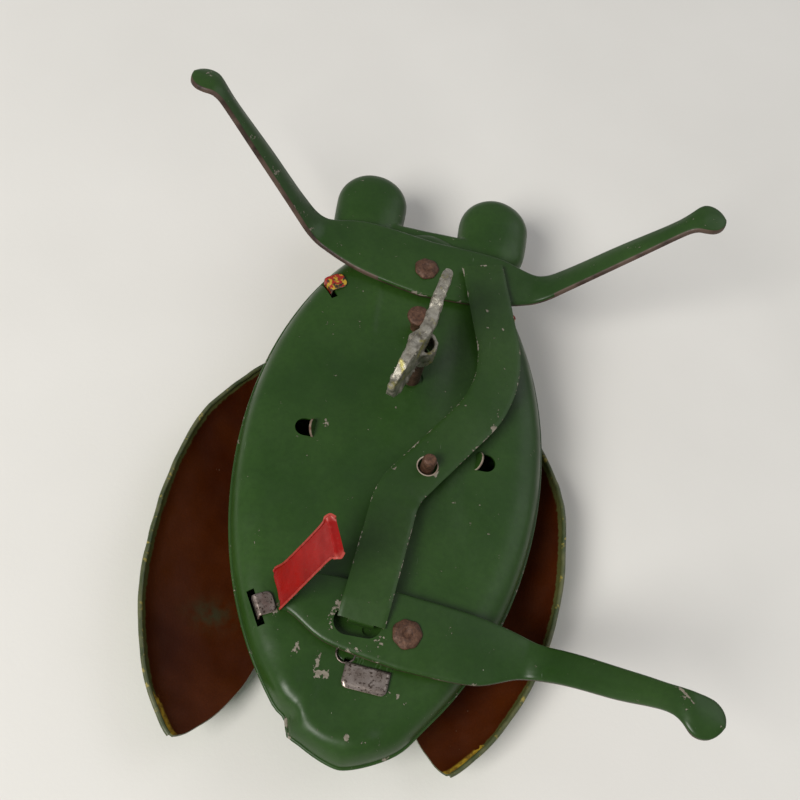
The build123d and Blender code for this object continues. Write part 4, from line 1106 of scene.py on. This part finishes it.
def connecting_link():
    """The crooked green strip between the two leg strips, ends folded down into their slots."""
    front, first = Vector(LINK_ROUTE[0]), Vector(LINK_ROUTE[1])
    front += (front - first).normalized() * 0.7
    line = spread(rounded([tuple(front)] + LINK_ROUTE[1:], LINK_BENDS), 130)
    last, rows = len(line) - 1, []
    top = LINK_Z + LINK_SHEET
    for k, (x, y) in enumerate(line):
        along = (Vector(line[min(last, k + 1)]) - Vector(line[max(0, k - 1)])).normalized()
        side = Vector((-along.y, along.x))
        sag = LINK_SAGS[1] * max(0.0, (k - last + 6) / 6) ** 1.3 + LINK_SAGS[0] * max(0.0, (3 - k) / 3)
        wave = 0.09 * bell(y + 10.2, 1.1) - 0.09 * bell(y + 12.6, 0.9)
        row = []
        for j in range(-12, 13):
            u = j / 12
            off = LINK_WIDTH / 2 * u * (1 + 0.012 * roughly((x, y, u * 2), 2.5))
            h = 0.10 * (1 - u * u) - 0.16 * max(0.0, abs(u) - 0.9) / 0.1 + 0.05 * roughly((x, y, 9), 4.0)
            row.append((x + side.x * off, y + side.y * off, top + h + wave - sag))
        rows.append(row)
    strip = tidy(piece("link_strip", *lattice(rows), LINK_GREEN, LINK_GREEN, RAW), up=True)
    modify(strip, "SOLIDIFY", thickness=LINK_SHEET * MM, offset=-1, material_offset_rim=2)
    cut(strip, [prism(round_plan(*CRANK_PIN, PIN_HOLE), 2, 6)])
    parts = [crease(strip, 50)]
    parts.append(link_tab(line[0], line[6], top - LINK_SAGS[0]))
    parts.append(link_tab(line[-1], line[-7], top - LINK_SAGS[1]))
    lip = [(x, y, top + 0.03) for x, y in round_plan(*CRANK_PIN, 1.80, 44)]
    parts.append(to_mesh(bead("hole_lip", lip, 0.14, RAW)))
    whole = join("link_strip", parts)
    chips = [((10.2, 38.6), (1.4, 0.5)), ((-0.9, -4.2), (0.5, 1.2)), ((0.3, -6.4), (0.5, 0.6)),
             ((16.6, 7.5), (0.3, 0.9)), ((16.2, 4.6), (0.4, 0.7)), ((12.2, 28.5), (0.35, 0.3)),
             ((12.7, 24.9), (0.3, 0.35)), ((15.6, 25.1), (0.3, 0.3)), ((7.3, -6.2), (0.6, 0.4))]

    def worn(p):
        return 0.48 * bell(abs(away(p, line) - 4.0), 0.16) + 0.95 * chip_wear(p, chips)

    weigh(whole, "wear", worn)
    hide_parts("connecting_link")
    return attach(whole, "link")


def peened(name, node, body, x, y, radius, low, high):
    """A rusty rivet with its head beaten out in petals."""
    rise = high - low
    profile = [(radius * 0.96, low + 0.02), (radius, low + rise * 0.28), (radius * 0.92, low + rise * 0.55),
               (radius * 0.70, low + rise * 0.82), (radius * 0.42, high), (radius * 0.26, high - 0.22),
               (0.02, high - 0.34)]

    def petals(a, z):
        if z < low:
            return 0.0
        return 0.030 * sin(7 * a + 1.0) + 0.025 * sin(3 * a) + 0.03 * around(a, z, 0.8)

    head = lathe(name, x, y, smooth_line(profile, 3), 72, RUST, wobble=petals)
    shank = lathe("shank", x, y, [(RIVET_SHANK, low - 2.8), (RIVET_SHANK, low + 0.3)], 24, RUST)
    foot = lathe("foot", x, y, [(2.0, -1.55), (2.0, -0.95)], 32, RUST)
    whole = join(name, [head, shank, foot])
    reshape(whole, lambda p: (0, 0, 0.10 * roughly(p, 1.1) if p.z > low + 0.2 else 0))
    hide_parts(node)
    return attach(whole, body)


def stud():
    """The flared stud in the middle of the belly."""
    profile = [(0.95, -2.6), (0.95, 0.0), (0.98, 0.6), (1.16, 1.6), (1.42, 2.7), (1.72, 3.5), (2.0, 3.85),
               (2.08, 4.15), (1.98, 4.45), (1.62, 4.64), (1.0, 4.70), (0.02, 4.62)]
    head = lathe("stud_head", *STUD, smooth_line(profile, 3), 48, RUST,
                 wobble=lambda a, z: 0.05 * around(a, z, 1.0) if z > 0.5 else 0)
    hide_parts("frame_rivet")
    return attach(head, "shell")


def crank_pin():
    """The worn pin that works in the link."""
    profile = [(1.22, -0.7), (1.22, 5.4), (1.24, 6.1), (1.12, 6.6), (0.85, 6.88), (0.02, 6.9)]
    pin = lathe("worn_pin", *CRANK_PIN, smooth_line(profile, 3), 40, RUST,
                wobble=lambda a, z: 0.05 * around(a, z, 0.9))
    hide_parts("crank_pin")
    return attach(pin, "crank")


def winding_key():
    """The cast key: two ears in the split top of a tube, one ear bent out of line."""
    ear = [(0.0, 19.7), (3.0, 20.0), (7.0, 21.0), (10.8, 20.0), (12.9, 16.8), (12.0, 13.0), (8.5, 10.4),
           (4.0, 10.0), (0.0, 10.4)]
    outline = smooth_line(ear, 6)
    parts = []
    for turn in EAR_TURNS:
        c, s = cos(radians(turn)), sin(radians(turn))
        faces = []
        for v in (-EAR_HALF, EAR_HALF):
            face = []
            for u, z in outline:
                w = v * (1 - 0.5 * (u / 13) ** 4 - (0.35 if u < 2 and z < 15 else 0))
                face.append((ARBOR[0] + c * u - s * w, ARBOR[1] + s * u + c * w, z))
            faces.append(face)
        parts.append(between("ear", *faces, True))
    outside, inside = 2.65, 1.85
    tube = [(outside, 8.6), (outside, 13.2), (inside, 13.2), (inside, 8.6), (outside, 8.6)]
    rows = [[(*point, z) for point in round_plan(*ARBOR, r, 64)] for r, z in tube]
    parts.append(tidy(piece("tube", *lattice([row + row[:1] for row in rows]))))
    key = join("cast_key", parts)
    modify(key, "REMESH", mode="VOXEL", voxel_size=0.22 * MM)
    modify(key, "SMOOTH", factor=0.5, iterations=4)
    for vertex in key.data.vertices:
        place = local(vertex)
        if hypot(place.x - ARBOR[0], place.y - ARBOR[1]) > 1.75:
            lumps = 0.34 * roughly(place, 1.7) + 0.15 * roughly(place, 0.8, 4.0) - 0.06
            vertex.co += vertex.normal * MM * lumps
    key.data.shade_smooth()
    paint(key, CAST)
    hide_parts("winding_key")
    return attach(key, "key")


# ------------------------------------------------------------------ the toy
belly_pan()
back_shell()
TAB_NAMES = ["left_rear_tab", "right_rear_tab", "left_front_tab", "right_front_tab", "tail_tab"]
for number, tab_name in enumerate(TAB_NAMES):
    folded_tab(tab_name, number, "front" in tab_name, 0.1 if tab_name == "tail_tab" else 0.0)
wing(-1, "left_cover", "left_wing", "left_wing")
wing(1, "right_cover", "right_wing", "right_wing")
front_legs()
rear_legs()
connecting_link()
peened("front_rivet", "front_leg_rivet", "shell", *FRONT_PIVOT, 2.25, 2.2, 3.1)
peened("rear_rivet", "rear_leg_rivet", "shell", *REAR_PIVOT, 2.45, 2.2, 3.15)
stud()
crank_pin()
winding_key()

INSIDE = [
    (BRASS, ["great_wheel", "second_wheel", "second_pinion", "crank_wheel", "crank_pinion", "fly_pinion",
             "belly_plate", "back_plate"]),
    (STEEL, ["click", "click_stud", "second_arbor", "crank_arbor", "ratchet_wheel", "spring_post",
             "frame_posts", "wing_cam", "wing_slider", "fly_blade"]),
    (DARK_RUST, ["crank_disc", "winding_arbor", "left_wing_rivet", "right_wing_rivet", "front_leg_washer",
                 "rear_leg_washer"]),
    (SPRING, ["mainspring"]),
]
for material, node_names in INSIDE:
    for node_name in node_names:
        paint(frame["nodes"][node_name], material)


# ------------------------------------------------------------------ floor, light and camera
def ground():
    """A plain pale matt floor."""
    s = Shade("pale_paper", rough=0.8, specular=0.2)
    tone = s.mix(s.cloud(60.0, 0.3, 0.7), (0.66, 0.645, 0.61), (0.70, 0.685, 0.65))
    s.finish(tone, normal=s.normal(s.noise(0.8), 0.02))
    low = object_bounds()[0]
    mesh = bpy.data.meshes.new("ground")
    mesh.from_pydata([(-2, -2, low.z), (2, -2, low.z), (2, 2, low.z), (-2, 2, low.z)], [], [[0, 1, 2, 3]])
    mesh.materials.append(s.material)
    floor = bpy.data.objects.new("ground", mesh)
    bpy.context.scene.collection.objects.link(floor)
    floor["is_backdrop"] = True


def lamp(name, place, aim, size, power, colour):
    """A soft rectangular light aimed at a place."""
    light = bpy.data.lights.new(name, "AREA")
    light.size, light.energy, light.color = size, power, colour
    obj = bpy.data.objects.new(name, light)
    obj.location = place
    obj.rotation_euler = (Vector(aim) - Vector(place)).to_track_quat("-Z", "Y").to_euler()
    bpy.context.scene.collection.objects.link(obj)


def camera():
    """The photographer's place: over the tail, leaning in, the toy turned a little to the right."""
    tilt, lean, roll = radians(28.0), radians(-3.3), radians(11.5)
    back = Vector((sin(lean), -sin(tilt) * cos(lean), cos(tilt) * cos(lean)))
    across = (Vector((1, 0, 0)) - back * back.x).normalized()
    upward = back.cross(across)
    right = across * cos(roll) + upward * sin(roll)
    top = upward * cos(roll) - across * sin(roll)
    lens = bpy.data.cameras.new("camera")
    lens.lens = 51.3
    obj = bpy.data.objects.new("camera", lens)
    turn = Matrix((right, top, back)).transposed().to_4x4()
    obj.matrix_world = Matrix.Translation(spot(-12.35, -86.99, 179.83)) @ turn
    bpy.context.scene.collection.objects.link(obj)
    bpy.context.scene.camera = obj


def world():
    """Even pale surroundings."""
    surroundings = bpy.data.worlds.new("surroundings")
    surroundings.use_nodes = True
    sky = surroundings.node_tree.nodes["Background"]
    sky.inputs["Color"].default_value = (0.80, 0.80, 0.82, 1)
    sky.inputs["Strength"].default_value = 0.44
    bpy.context.scene.world = surroundings


ground()
lamp("window", (-0.40, -0.42, 0.62), (0, 0, 0.01), 0.36, 6.9, (1.0, 0.985, 0.945))
lamp("fill", (0.5, 0.35, 0.6), (0, 0, 0.01), 0.6, 1.2, (0.95, 0.97, 1.0))
camera()
world()
bpy.context.scene.view_settings.view_transform = "Standard"
